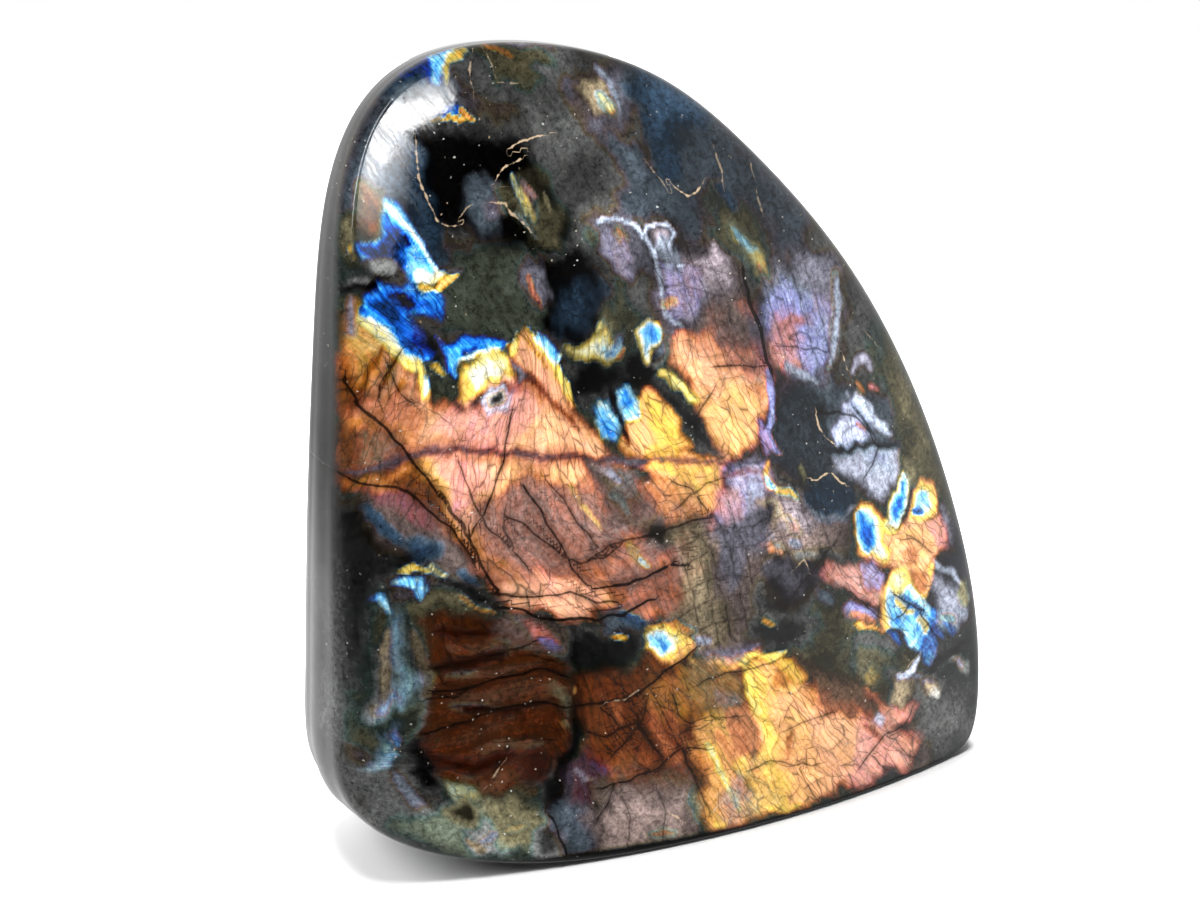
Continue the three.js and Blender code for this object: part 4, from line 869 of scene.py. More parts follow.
# Cracks that run through the stone: half width, darkness, points.
CRACKS = (
    (0.23, 0.85, ((-61, 86), (-60, 82), (-58, 80), (-56, 78), (-54, 75.6), (-52.6, 73), (-51, 70.4),
        (-49, 67.4), (-47, 64.4), (-45, 62), (-44, 58.6), (-43, 56), (-41.6, 53), (-40, 49.6))),
    (0.2, 0.82, ((-64, 71), (-61, 69.6), (-58, 68.9), (-55, 68.6), (-53, 67.4), (-50, 64.4), (-47, 61),
        (-45, 58), (-43.6, 55))),
    (0.16, 0.8, ((-41, 49.6), (-37, 49), (-33, 48.6), (-28, 49), (-24, 46.6), (-20, 46))),
    (0.24, 0.9, ((-40, 47.6), (-36, 46.6), (-33, 45), (-29, 44.4), (-24, 43.6), (-19, 44), (-14, 45.6))),
    (0.16, 0.8, ((-48, 67), (-46, 63), (-44.6, 59.6))),
    (0.12, 0.8, ((-36, 80), (-37, 76), (-38, 72), (-40, 67), (-42, 63), (-43.6, 60))),
    (0.12, 0.7, ((-45, 72), (-44, 68), (-43, 65), (-41, 61), (-38, 57.6), (-35, 54))),
    (0.12, 0.7, ((-52, 82), (-54, 84.6), (-55, 88))),
    (0.12, 0.7, ((-57, 83), (-55, 87), (-52.6, 90))),
    (0.14, 0.8, ((-35, 67), (-33, 63.6), (-31, 60), (-29, 56), (-27.6, 53), (-25, 50))),
    (0.1, 0.7, ((-31, 68), (-28, 64), (-26, 60), (-23, 56))),
    (0.16, 0.7, ((-38, 62.6), (-35, 60.6), (-32, 57.6), (-29, 55), (-26, 53.6), (-22, 54), (-19, 56))),
    (0.12, 0.6, ((-38, 64), (-38.6, 60), (-37, 57))),
    (0.2, 0.9, ((-24, 49), (-18, 48.8), (-13, 50.6), (-10, 51.2), (-7, 50.8))),
    (0.16, 0.7, ((-25, 53.6), (-21, 55.8), (-18, 56.8), (-12, 57), (-6, 58.4), (-2, 58.6))),
    (0.14, 0.7, ((-9, 65.6), (-6, 63.8), (-4, 61.4), (-2, 59))),
    (0.12, 0.6, ((-9, 61), (-5, 63), (-3, 64.6), (0, 65))),
    (0.3, 0.9, ((6, 100), (6.4, 97), (7, 94), (8.4, 91), (9.4, 88), (9.8, 84.6), (10.8, 82))),
    (0.12, 0.7, ((0, 84), (4, 83.4), (8, 83), (10, 82.8))),
    (0.12, 0.6, ((13, 86), (17, 85.4), (23, 84.2))),
    (0.14, 0.6, ((-1, 80), (-3, 77.6), (-4, 76))),
    (0.16, 0.9, ((-51, 34), (-46, 34.4), (-41, 35.4), (-36, 35.9), (-33, 36.2), (-29, 34.4))),
    (0.16, 0.9, ((-53, 27), (-49, 27.6), (-45, 28.8), (-41, 30), (-37, 30.5), (-33, 30.2), (-29.6, 29.2))),
    (0.12, 0.8, ((-52, 32.8), (-48, 33), (-44, 34.6))),
    (0.12, 0.7, ((-51, 38), (-46, 38.8), (-40, 39.4), (-34, 41.4))),
    (0.1, 0.6, ((-40, 24), (-36, 24.4), (-32, 23.6))),
    (0.16, 0.9, ((-29, 29), (-22, 29), (-17, 29.4), (-14, 31), (-12, 33), (-8, 34.6), (-6, 36))),
    (0.14, 0.8, ((-24, 13.6), (-18, 14.4), (-13, 15.6), (-10, 18), (-7, 18), (-4, 17))),
    (0.12, 0.8, ((-17, 24), (-15, 21), (-13, 18))),
    (0.12, 0.8, ((-26, 24.4), (-23, 22.6), (-20.6, 24), (-17, 24.6), (-15, 21.4), (-12.6, 17.6))),
    (0.1, 0.7, ((-24, 28.6), (-21.6, 26), (-20.6, 24))),
    (0.1, 0.7, ((-10.6, 28.6), (-9.6, 25), (-7, 22.4), (-3, 23.4), (-1, 22))),
    (0.1, 0.6, ((-19, 28), (-17.4, 26), (-17, 24.6))),
    (0.1, 0.6, ((-21, 32.6), (-19, 30.6), (-17.6, 29.4))),
    (0.1, 0.6, ((-19, 19.6), (-16.4, 16.6), (-14.6, 14.8))),
    (0.1, 0.5, ((-20, 11), (-18.6, 7), (-19, 3))),
    (0.1, 0.5, ((-13.4, 11), (-12, 7), (-12.4, 3))),
    (0.12, 0.7, ((-22, 19), (-19, 22), (-16.6, 24), (-15, 28))),
    (0.12, 0.6, ((-14, 29), (-12, 25), (-10, 20), (-7, 14), (-5, 9), (-3.6, 5))),
    (0.12, 0.6, ((-9, 21), (-5, 21.4), (-2, 22.6), (2, 22.4))),
    (0.12, 0.6, ((-5, 29.6), (0, 30.4), (6, 30), (10, 30.8))),
    (0.12, 0.6, ((5, 11.6), (9, 12.4), (14, 10.4), (20, 9))),
    (0.12, 0.6, ((15, 9.6), (17, 6), (19.6, 2.4))),
    (0.12, 0.6, ((13, 17.6), (18, 18), (23, 18.4))),
    (0.16, 0.7, ((30, 6), (33, 9), (37, 11), (41, 11), (43, 13.6))),
    (0.12, 0.6, ((33, 7), (35, 4.6), (37, 3))),
    (0.12, 0.6, ((36, 10.6), (39, 9), (42, 5), (45, 3))),
    (0.2, 0.7, ((20, 73.6), (25, 73.4), (29, 72), (32, 69), (33.6, 66))),
    (0.16, 0.7, ((34, 65.6), (33, 63), (31, 60.6))),
    (0.16, 0.7, ((12, 40), (16, 44), (20, 47), (24, 50.6))),
    (0.18, 0.8, ((38, 37.4), (41, 35.4), (44, 33.4), (46, 31), (48.4, 28))),
    (0.16, 0.8, ((39, 33), (42, 34.6), (46, 32.6))),
    (0.16, 0.7, ((26.6, 40.4), (30, 37.8), (34.4, 34))),
    (0.14, 0.6, ((40, 47.6), (44, 46.6), (47, 44))),
    (0.2, 0.8, ((-33, 10), (-31.4, 6.4), (-30.4, 2.4))),
    (0.12, 0.7, ((-24.6, 8), (-22.6, 11), (-21, 14))),
    # fine nets of cleavage in the hazy middle, the veils right of it and the violet corner above
    *(
        (0.04, 0.6, ((x, 62 - abs(x)), (x + 3, 53), (x + 5.4, 43), (x + 6.6, 37)))
        for x in (-11, -8, -5.4, -2, 1)
    ),
    *((0.04, 0.5, ((-9, z - 2.4), (-2, z), (6, z - 0.8), (11, z + 1.4))) for z in (40, 44.6, 48, 53, 56.4)),
    *((0.04, 0.5, ((x, 61), (x + 3.4, 53), (x + 6.6, 45))) for x in (8.4, 11.6, 15, 18)),
    *((0.04, 0.5, ((9, z), (14, z + 1.6), (21, z + 0.6))) for z in (48.6, 51.6, 56)),
    *((0.04, 0.5, ((x, 99), (x + 3, 90), (x + 5, 82))) for x in (9.4, 12.6, 15.6, 19)),
    *((0.04, 0.4, ((-10, z), (-3, z - 1), (4, z - 3.4))) for z in (94, 98, 102)),
    *((0.04, 0.5, ((x, 106), (x + 3, 98), (x + 5, 91))) for x in (-12, -8.6, -5, -1.6)),
)

# Open cracks and chips that catch the light, tan or white: half width, brightness, points.
CHIPS = (
    (0.06, 0.7, ((-48, 122), (-47.8, 117), (-47, 113), (-45.6, 110), (-44, 109), (-42.6, 109))),
    (0.1, 0.9, ((-35.6, 116.6), (-34, 118), (-31.8, 119))),
    (0.1, 0.9, ((-33, 120.8), (-31.4, 121.8), (-29.6, 122.6), (-27.6, 122.8))),
    (0.07, 0.7, ((-36.4, 112.6), (-34.6, 112.4), (-33.6, 110.6), (-31, 108))),
    (0.06, 0.6, ((-41.6, 110.6), (-40, 112.4))),
    (0.03, 0.5, ((-38.4, 130), (-38.4, 133), (-37.6, 136))),
    (0.02, 0.4, ((-35.6, 135), (-34.6, 131), (-32, 130.6))),
    (0.09, 0.9, ((-6.4, 114.6), (-5.4, 113.6), (-3.6, 112.3), (-2.2, 112.6), (-1, 113.8))),
    (0.05, 0.5, ((-10, 117), (-8.6, 115.6), (-7.4, 113.8))),
    (0.04, 0.4, ((2, 120), (2.8, 117), (3.6, 113))),
    (0.05, 0.4, ((9, 117), (9.6, 113), (10.4, 109))),
    (0.1, 0.9, ((20.2, 73), (20.6, 71), (21.6, 69.4), (23.2, 68.2))),
    (0.1, 0.9, ((19, 62.4), (20.2, 61.8), (21.4, 62.8), (23, 62.6), (25.6, 60.6))),
    (0.06, 0.8, ((26.4, 82.6), (27.2, 80.8))),
    (0.06, 0.6, ((33, 85.4), (33.8, 84.6))),
    (0.02, 0.4, ((-45, 15.6), (-43, 17), (-41, 20))),
    (0.02, 0.35, ((-22, 28.8), (-19, 29.2), (-16.6, 30.2))),
    (0.06, 0.7, ((-2.6, 5.4), (-0.4, 7), (1.4, 7.9))),
    (0.1, 0.9, ((-10.6, 6), (-9.4, 5))),
    (0.05, 0.5, ((15, 47), (16.6, 48), (17.4, 46.6))),
    (0.05, 0.5, ((40, 21), (42, 22.6), (44, 24))),
)

# Lie of the lamellae: centre x and z, reach in millimetres, and angle from the x axis in degrees.
GRAIN = (
    (-52, 76, 10, 68),
    (-40, 66, 9, 80),
    (-30, 58, 10, 118),
    (-42, 32, 11, 184),
    (-12, 24, 11, 124),
    (-5, 48, 12, 112),
    (5, 80, 12, 120),
    (-14, 76, 9, 122),
    (16, 16, 13, 124),
    (34, 12, 11, 134),
    (40, 42, 12, 132),
    (28, 66, 12, 112),
    (0, 112, 18, 112),
    (-22, 122, 12, 122),
    (-46, 108, 12, 118),
    (-58, 40, 8, 95),
    (-46, 8, 9, 120),
)


LATTICE = 64  # cells after which a noise repeats
LATTICE_START = (31.7, 17.3)
FAR = 1e9
NEIGHBOURS = 30  # distance over which neighbouring regions of GRAIN have to agree
MILKY_SOFTNESS = 1.5  # how much softer the border of a milky patch is than its own figure
RIM_FADE = (0.3, 3.2)  # depth below the domed faces over which the flash fades
SHADED_FOOT_FADE = 0.9  # height over which it fades above the dark foot of painted contact shadow
LINE_REACH = 3  # distance from a crack or chip to which it is traced
LINE_FADE = (1.3, 2.4)  # distances over which its strength fades out
NO_LINE = 5.0  # distance that is kept where there is none


def smooth(value, low, high):
    """Smoothstep from 0 at low to 1 at high."""
    t = np.clip((value - low) / (high - low), 0, 1)
    return t * t * (3 - 2 * t)


def noise(x, z, size, seed):
    """Smooth noise between -1 and 1: random values on a square lattice of cells of that size, joined by
    smoothsteps. Its start keeps the stone's middle off the lattice's corners."""
    lattice = np.random.default_rng(seed).uniform(-1, 1, (LATTICE, LATTICE))
    u, v = x / size + LATTICE_START[0], z / size + LATTICE_START[1]
    i, j = np.floor(u).astype(int), np.floor(v).astype(int)
    s, t = smooth(u - i, 0, 1), smooth(v - j, 0, 1)
    i, j, k, m = i % LATTICE, j % LATTICE, (i + 1) % LATTICE, (j + 1) % LATTICE
    low = lattice[i, j] * (1 - s) + lattice[k, j] * s
    high = lattice[i, m] * (1 - s) + lattice[k, m] * s
    return low * (1 - t) + high * t


def rough_noise(x, z, size, seed):
    """Three octaves of noise, each half the size and half the height of the last, over their whole height."""
    return sum(noise(x, z, size / 2**k, seed + k) / 2**k for k in range(3)) / 1.75


def line_distance(x, z, points, closed):
    """Distance to a line through the points, which side of it a place is on, and for a closed line whether
    the place is inside, by counting how often a ray to the right crosses it."""
    best = np.full(x.shape, FAR)
    side = np.ones(x.shape)
    inside = np.zeros(x.shape, bool)
    ends = points[1:] + points[:1] if closed else points[1:]
    for (ax, az), (bx, bz) in zip(points, ends):
        dx, dz = bx - ax, bz - az
        share = np.clip(((x - ax) * dx + (z - az) * dz) / (dx * dx + dz * dz), 0, 1)
        away = np.hypot(x - ax - share * dx, z - az - share * dz)
        nearer = away < best
        best = np.where(nearer, away, best)
        side = np.where(nearer, np.sign((x - ax) * dz - (z - az) * dx), side)
        if closed and az != bz:
            inside ^= ((az > z) != (bz > z)) & (x < ax + (z - az) * dx / dz)
    return best, side, inside


def near(x, z, points, margin):
    """Indices of the places inside the box around the points, widened by the margin."""
    xs, zs = zip(*points)
    return np.flatnonzero(
        (x > min(xs) - margin) & (x < max(xs) + margin) & (z > min(zs) - margin) & (z < max(zs) + margin)
    )


def grain_frames():
    """Unit vectors across and along the lamellae of each region of GRAIN, with offsets that make neighbouring
    regions agree halfway between their centres as nearly as they can, by least squares."""
    centres = np.array([(cx, cz) for cx, cz, _, _ in GRAIN], float)
    turns = np.radians([angle for *_, angle in GRAIN])
    along = np.stack([np.cos(turns), np.sin(turns)], axis=1)
    across = np.stack([-along[:, 1], along[:, 0]], axis=1)
    rows, goals = [], []
    for i in range(len(GRAIN)):
        for j in range(i):
            middle = (centres[i] + centres[j]) / 2
            weight = math.exp(-(math.dist(centres[i], centres[j]) / NEIGHBOURS) ** 2)
            row = np.zeros(len(GRAIN))
            row[i], row[j] = weight, -weight
            rows.append(row)
            goals.append(weight * np.array([middle @ (v[j] - v[i]) for v in (across, along)]))
    offsets = np.linalg.lstsq(np.array(rows), np.array(goals), rcond=None)[0]
    return across, along, offsets


def lie_of_grain(x, z):
    """Coordinates across and along the lamellae, and the cosine and sine of their angle: those of each region
    of GRAIN, blended by weights that fall off as a bell curve from its centre."""
    parts = np.zeros((5, len(x)))
    for (cx, cz, reach, _), across, along, offset in zip(GRAIN, *grain_frames()):
        weight = np.exp(-((x - cx) ** 2 + (z - cz) ** 2) / reach**2) + 1e-6
        parts[0] += weight * (x * across[0] + z * across[1] + offset[0])
        parts[1] += weight * (x * along[0] + z * along[1] + offset[1])
        parts[2:] += weight * np.array([along[0], along[1], 1])[:, None]
    return parts[:4] / parts[4]


def warp(x, z):
    """Places moved by noise 6 mm and 2 mm wide, and along the lamellae by noise that changes quickly across
    them, which combs the borders of the domains into slivers."""
    across, along, c, s = lie_of_grain(x, z)
    comb = 0.75 * noise(across, along / 9, 1.1, 15) + 0.5 * noise(across, along / 7, 2.3, 16)
    moved_x = x + 0.8 * noise(x, z, 6, 11) + 0.4 * noise(x, z, 1.9, 12) + c * comb
    moved_z = z + 0.8 * noise(x, z, 6, 13) + 0.4 * noise(x, z, 1.9, 14) + s * comb
    return moved_x, moved_z


def mark_depth(mark, soft, number, px, pz):
    """How deep places lie inside a mark, in millimetres, negative outside: the distance to a patch's border,
    or half the streak's width, which tapers to its tips, less the distance to its line. Noise makes the
    border wander, more on a soft one."""
    away, _, inside = line_distance(px, pz, mark.points, mark.width == 0)
    wander = (0.2 + 0.25 * soft) * rough_noise(px, pz, 2.2, 100 + number)
    if not mark.width:
        return np.where(inside, away, -away) + wander + 0.55 * soft * noise(px, pz, 5, 500 + number)
    tips = [np.hypot(px - x, pz - z) for x, z in (mark.points[0], mark.points[-1])]
    taper = np.clip(0.4 + np.minimum(*tips) / (3 * mark.width), 0, 1)
    return mark.width / 2 * taper - away + wander


def paint_marks(x, z):
    """Order, flash, haze and tint at each place. Each mark in turn is laid over the last, weighted by a
    smoothstep across its border. Order reaches its new value outside the border and flash inside it, so a
    domain fades without running through the colours between. A mark with several tones runs through them
    from its border inwards. Milky patches have softer borders than the flash."""
    fields = {
        "order": np.full(x.shape, 0.1),
        "flash": np.zeros(x.shape),
        "haze": np.full(x.shape, 0.035),
        "tint": 0.5 + 0.25 * noise(x, z, 25, 5),
    }
    wander_x, wander_z = warp(x, z)
    for number, mark in enumerate(MARKS):
        orders, hazes, tints = zip(*(TONES[name] for name in mark.tone.split(">")))
        milky = orders[0] is None
        soft = mark.soft * MILKY_SOFTNESS if milky and not mark.width else mark.soft
        at = near(x, z, mark.points, 2 * soft + mark.width + 4)
        # the harder its border, the less a mark is warped
        warped = min(0.35 + 0.35 * soft, 1)
        px, pz = x[at] + warped * (wander_x[at] - x[at]), z[at] + warped * (wander_z[at] - z[at])
        depth = mark_depth(mark, soft, number, px, pz)
        steps = range(len(orders))
        share = np.clip(depth / (1.4 * soft), 0, 1) * steps[-1]
        inner = smooth(depth, -0.4 * soft, 0.6 * soft)
        outer = smooth(depth, -0.9 * soft, -0.1 * soft)
        changes = [
            ("flash", mark.flash * (fields["flash"][at] if milky else 1), inner),
            ("haze", np.maximum(mark.haze + np.interp(share, steps, hazes), 0), inner),
            ("tint", np.interp(share, steps, tints), outer),
        ]
        if not milky:
            changes.append(("order", np.interp(share, steps, orders), outer))
        for name, goal, weight in changes:
            fields[name][at] += (goal - fields[name][at]) * weight
    return fields


def trace_lines(x, z, lines):
    """Signed distance to the nearest line, its strength there and its half width, as three columns. The
    strength fades out away from the line, so the places where the nearest line changes don't show."""
    best = np.full(x.shape, FAR)
    columns = np.zeros((len(x), 3))
    columns[:, 0] = NO_LINE
    wobble_x = x + 0.35 * noise(x, z, 2.2, 21)
    wobble_z = z + 0.35 * noise(x, z, 2.2, 22)
    for half_width, strength, points in lines:
        at = near(x, z, points, LINE_REACH)
        away, side, _ = line_distance(wobble_x[at], wobble_z[at], points, False)
        closer = away < best[at]
        at, away, side = at[closer], away[closer], side[closer]
        best[at] = away
        columns[at, 0] = away * side
        columns[at, 1] = strength * (1 - smooth(away, *LINE_FADE))
        columns[at, 2] = half_width
    return columns


def paint_back(x, z):
    """The same fields for the back: dark stone in which islands of flash rise out of slow noise."""
    height = rough_noise(x, z, 34, 300) + 0.2 * rough_noise(x, z, 7, 310)
    island = smooth(height, 0.02, 0.2)
    veil = rough_noise(x, z, 18, 320)
    return {
        "order": np.clip(1.7 * (height - 0.02), 0, 0.92),
        "flash": 0.6 * island,
        "haze": 0.03 + 0.03 * smooth(veil, -0.4, 0.6),
        "tint": 0.5 + 0.4 * veil,
    }


def stone_fields(points):
    """All per-vertex fields of the stone. Flash shows only on the two polished faces. It fades over their
    rims and just above the sawn base, where a dark foot is painted contact shadow. The side wall is dark,
    with a little haze that grows low down towards the back, partly its own milkiness and partly painted
    reflection of the pale floor."""
    x, y, z = points.T
    front, back = paint_marks(x, z), paint_back(x, z)
    ahead, behind = y - dome(FRONT, x, z), dome(BACK, x, z) - y
    rear = smooth(ahead - behind, -3, 3)
    fields = {name: front[name] * (1 - rear) + back[name] * rear for name in front}
    # the dark foot, painted contact shadow along the stone's lower edge, is 0.5 mm high at the right and 1.8
    # mm at the left
    foot = 0.5 + 1.3 * smooth(-x, -20, 30)
    faded = (1 - smooth(np.minimum(ahead, behind), *RIM_FADE)) * smooth(z, foot, foot + SHADED_FOOT_FADE)
    fields["flash"] *= faded
    # painted reflection: low down towards the back the wall's haze stands in partly for the pale floor that
    # it reflects, beside its own milkiness; below 1 mm the wall is nearly black, painted contact shadow
    low = smooth(z, 3, 10) * (1 - smooth(z, 20, 75)) * smooth(behind, 0, 11)
    wall = 0.003 + 0.017 * smooth(z, 1, 6) + 0.06 * low
    fields["haze"] = fields["haze"] * faded + wall * (1 - faded)
    fields["tint"] = fields["tint"] * faded + 0.5 * (1 - faded)
    across, along = lie_of_grain(x, z)[:2]
    return (
        ("flash", np.stack([fields["order"], fields["flash"], fields["haze"]], axis=1)),
        ("grain", np.stack([across, along, fields["tint"]], axis=1)),
        ("cracks", trace_lines(x, z, CRACKS)),
        ("chips", trace_lines(x, z, CHIPS)),
    )


def write_mesh(name, points, quads, triangles, fields):
    """A mesh from vertex, quad and triangle arrays in millimetres, smooth shaded, with vector attributes."""
    mesh = bpy.data.meshes.new(name)
    mesh.vertices.add(len(points))
    mesh.vertices.foreach_set("co", (points * MM).astype(np.float32).ravel())
    corners = np.concatenate([quads.ravel(), triangles.ravel()]).astype(np.int32)
    sizes = np.concatenate([np.full(len(quads), 4), np.full(len(triangles), 3)])
    starts = np.concatenate([[0], np.cumsum(sizes)[:-1]]).astype(np.int32)
    mesh.loops.add(len(corners))
    mesh.loops.foreach_set("vertex_index", corners)
    mesh.polygons.add(len(sizes))
    mesh.polygons.foreach_set("loop_start", starts)
    mesh.polygons.foreach_set("use_smooth", np.ones(len(sizes), bool))
    for field, values in fields:
        attribute = mesh.attributes.new(field, "FLOAT_VECTOR", "POINT")
        attribute.data.foreach_set("vector", values.astype(np.float32).ravel())
    mesh.update(calc_edges=True)
    mesh.validate()
    return mesh


# --------------------
# Materials
# --------------------


def add(tree, kind, inputs=(), **settings):
    """Adds a shader node to the tree, with its settings, and its inputs by name, or in order among those in
    use: values, sockets to link from, or nodes, which are linked from their first output in use."""
    node = tree.nodes.new("ShaderNode" + kind)
    for key, value in settings.items():
        setattr(node, key, value)
    if isinstance(inputs, dict):
        pairs = [(node.inputs[name], value) for name, value in inputs.items()]
    else:
        pairs = zip([socket for socket in node.inputs if socket.enabled], inputs)
    for socket, value in pairs:
        if isinstance(value, bpy.types.Node):
            value = next(output for output in value.outputs if output.enabled)
        if isinstance(value, bpy.types.NodeSocket):
            tree.links.new(value, socket)
        else:
            socket.default_value = value
    return node


def empty_tree(block):
    """The node tree of a material or a world, emptied."""
    block.use_nodes = True
    block.node_tree.nodes.clear()
    return block.node_tree


# Interference colours of the flash, from none to the highest order.
FLASH_COLOURS = (
    (0.0, "#020203"),
    (0.04, "#06121f"),
    (0.09, "#0a2f6c"),
    (0.14, "#0f57c9"),
    (0.19, "#2b95f5"),
    (0.245, "#86d4fa"),
    (0.3, "#e2f7f4"),
    (0.345, "#fbf8dc"),
    (0.4, "#f8e88c"),
    (0.46, "#fcd254"),
    (0.53, "#f7b765"),
    (0.6, "#f6b078"),
    (0.68, "#f1aa86"),
    (0.75, "#ea9a86"),
    (0.81, "#d48a98"),
    (0.87, "#ab93c4"),
    (0.93, "#a3a6e6"),
    (1.0, "#cfd6ee"),
)
# Colours of the haze: blue, grey-lilac, pink, sand, grey, green, olive and rust.
HAZE_COLOURS = (
    (0.0, "#7fb0e0"),
    (0.25, "#b6cde2"),
    (0.33, "#cdc8de"),
    (0.41, "#cfb4ac"),
    (0.455, "#cdb892"),
    (0.5, "#d2d4d2"),
    (0.58, "#a4c8be"),
    (0.65, "#b9c8ac"),
    (0.8, "#d0c698"),
    (1.0, "#c69a78"),
)
CRACK_SHADOW = linear("#120a06")
CRACK = linear("#070403")
CHIP = linear("#b7a084")
WHITE_FLECK = linear("#c9ccc8")
RUSTY_FLECK = linear("#8a7458")


def set_stops(ramp, stops):
    """Makes a ramp run through the given sRGB colours."""
    while len(ramp.elements) < len(stops):
        ramp.elements.new(1.0)
    for element, (place, colour) in zip(ramp.elements, stops):
        element.position = place
        element.color = linear(colour)


def labradorite(look):
    """Labradorite, a feldspar of fine lamellae, tumbled and polished with cerium oxide. The lamellae give the
    flash, fine cleavage cracks cut it into scales, and the polish leaves a wet gloss with a few hairline
    scratches."""
    material = bpy.data.materials.new("polished_labradorite")
    tree = empty_tree(material)
    put = partial(add, tree)

    # what the mesh carries: the flash and haze, places on the lamellae, and distances to cracks and chips
    flash, grain, cracks, chips = (
        put("SeparateXYZ", (put("Attribute", attribute_name=name).outputs["Vector"],)).outputs
        for name in ("flash", "grain", "cracks", "chips")
    )
    order, strength, haze = flash
    across, along, tint = grain

    # clouds of noise: place, cycles per millimetre, octaves and roughness
    mm = put("VectorMath", (put("TexCoord").outputs["Object"], 1 / MM), operation="SCALE")
    fine = put("TexNoise", (mm, 0.9, 4.0, 0.62))
    bend = put("TexNoise", (mm, 0.22, 3.0, 0.55))
    bent = put("VectorMath", (bend.outputs["Color"], (3.2, 3.2, 3.2), mm), operation="MULTIPLY_ADD")
    grit = put("TexNoise", (bent, 1.1, 5.0, 0.72))
    clouds = put("TexNoise", (bent, 0.12, 3.0))
    lamellar = put("CombineXYZ", (across, along))
    lamellar = put("VectorMath", (bend.outputs["Color"], (1.8, 3.0, 0.0), lamellar), operation="MULTIPLY_ADD")

    # noise drawn out along the lamellae: rates across and along them, octaves and roughness
    folds, stripes, fibres = (
        put("TexNoise", (put("VectorMath", (lamellar, rates), operation="MULTIPLY"), 1.0, octaves, roughness))
        for rates, octaves, roughness in (
            ((0.28, 0.06, 1.0), 2.0, 0.5),
            ((1.9, 0.1, 1.0), 3.0, 0.6),
            ((1.1, 0.16, 1.0), 4.0, 0.65),
        )
    )

    # slivers 1.2 mm by 9 mm between hairline cracks along the lamellae, and curved cleavage cracks, like fish
    # scales 5 mm across
    sliver_place = put("VectorMath", (lamellar, (0.8, 0.11, 1.0)), operation="MULTIPLY")
    sweep = put("TexNoise", (mm, 0.1, 2.0)).outputs["Color"]
    scale_place = put("VectorMath", (sweep, (7.0, 7.0, 7.0), lamellar), operation="MULTIPLY_ADD")
    scale_place = put("VectorMath", (scale_place, (1.0, 0.62, 1.0)), operation="MULTIPLY")
    (sliver_edge, sliver), (scale_edge, scale) = (
        [
            put("TexVoronoi", (place, rate), feature=feature, voronoi_dimensions="2D")
            for feature in ("DISTANCE_TO_EDGE", "F1")
        ]
        for place, rate in ((sliver_place, 1.0), (scale_place, 0.24))
    )
    sliver_tone = put("SeparateXYZ", (sliver.outputs["Color"],)).outputs
    # each scale is tipped its own way
    tip = put("VectorMath", (scale_place, scale.outputs["Position"]), operation="SUBTRACT")
    turn = put("VectorMath", (scale.outputs["Color"], (0.5, 0.5, 0.5)), operation="SUBTRACT")
    tip = put("VectorMath", (tip, turn), operation="DOT_PRODUCT")
    small_edge = put("TexVoronoi", (bent, 0.47), feature="DISTANCE_TO_EDGE")

    # hairlines: the distance to them, what opens them, over which values and to what widths, and how dark
    opened = put("TexNoise", (mm, 0.13, 2.0))
    hairlines = None
    for edge, opener, low, high, at_low, at_high, dark in (
        (sliver_edge, opened, 0.38, 0.6, 0.008, 0.085, 0.74),
        (scale_edge, fine, 0.4, 0.66, 0.004, 0.045, 0.64),
        (small_edge, opened, 0.4, 0.56, 0.06, 0.003, 0.35),
    ):
        width = put("MapRange", (opener, low, high, at_low, at_high))
        line = put("MapRange", (edge, 0.0, width, dark, 0.0))
        hairlines = put("Math", (hairlines, line), operation="MAXIMUM") if hairlines else line
    beside_scale = put("MapRange", (scale_edge, 0.0, 0.16, 0.72, 1.0))
    beside_sliver = put("MapRange", (sliver_edge, 0.0, 0.2, 0.82, 1.0))
    shade = put("Math", (beside_scale, beside_sliver), operation="MULTIPLY")

    # the flash: its colour follows the order, and dim flash is deeper in colour
    shifted = order
    for value, reach in ((fine, look.border_unrest), (stripes, 0.1), (sliver_tone[0], 0.04), (folds, 0.1)):
        offset = put("Math", (value, 0.5), operation="SUBTRACT")
        shifted = put("Math", (offset, reach, shifted), operation="MULTIPLY_ADD")
    colour = put("ValToRGB", (shifted,))
    set_stops(colour.color_ramp, FLASH_COLOURS)
    fine_offset = put("Math", (fine, 0.5), operation="SUBTRACT")
    unrest = put("Math", (1.0, strength), operation="SUBTRACT")
    unrest = put("Math", (strength, unrest), operation="MULTIPLY")
    unrest = put("Math", (unrest, fine_offset), operation="MULTIPLY")
    strength = put("Math", (unrest, 3.0, strength), operation="MULTIPLY_ADD")
    dim = put("MapRange", (strength, 0.0, 1.0, 1.0, 0.0))
    deepening = put("Math", (dim, dim), operation="MULTIPLY")
    deepening = put("Math", (deepening, 1.6, 1.0), operation="MULTIPLY_ADD")
    colour = put("Gamma", (colour, deepening))
    lit = put("Math", (strength, look.flash_strength), operation="MULTIPLY")
    for ranges in (
        (folds, 0.3, 0.7, 0.72, 1.15),
        (stripes, 0.25, 0.75, 0.66, 1.2),
        (sliver_tone[1], 0.0, 1.0, 0.84, 1.06),
        (tip, -1.6, 1.6, 0.8, 1.14),
        (grit, 0.32, 0.48, 0.72, 1.0),
    ):
        lit = put("Math", (lit, put("MapRange", ranges)), operation="MULTIPLY")
    for factor in (shade, put("Math", (1.0, hairlines), operation="SUBTRACT")):
        lit = put("Math", (lit, factor), operation="MULTIPLY")
    glow = put("VectorMath", (colour, lit), operation="SCALE")

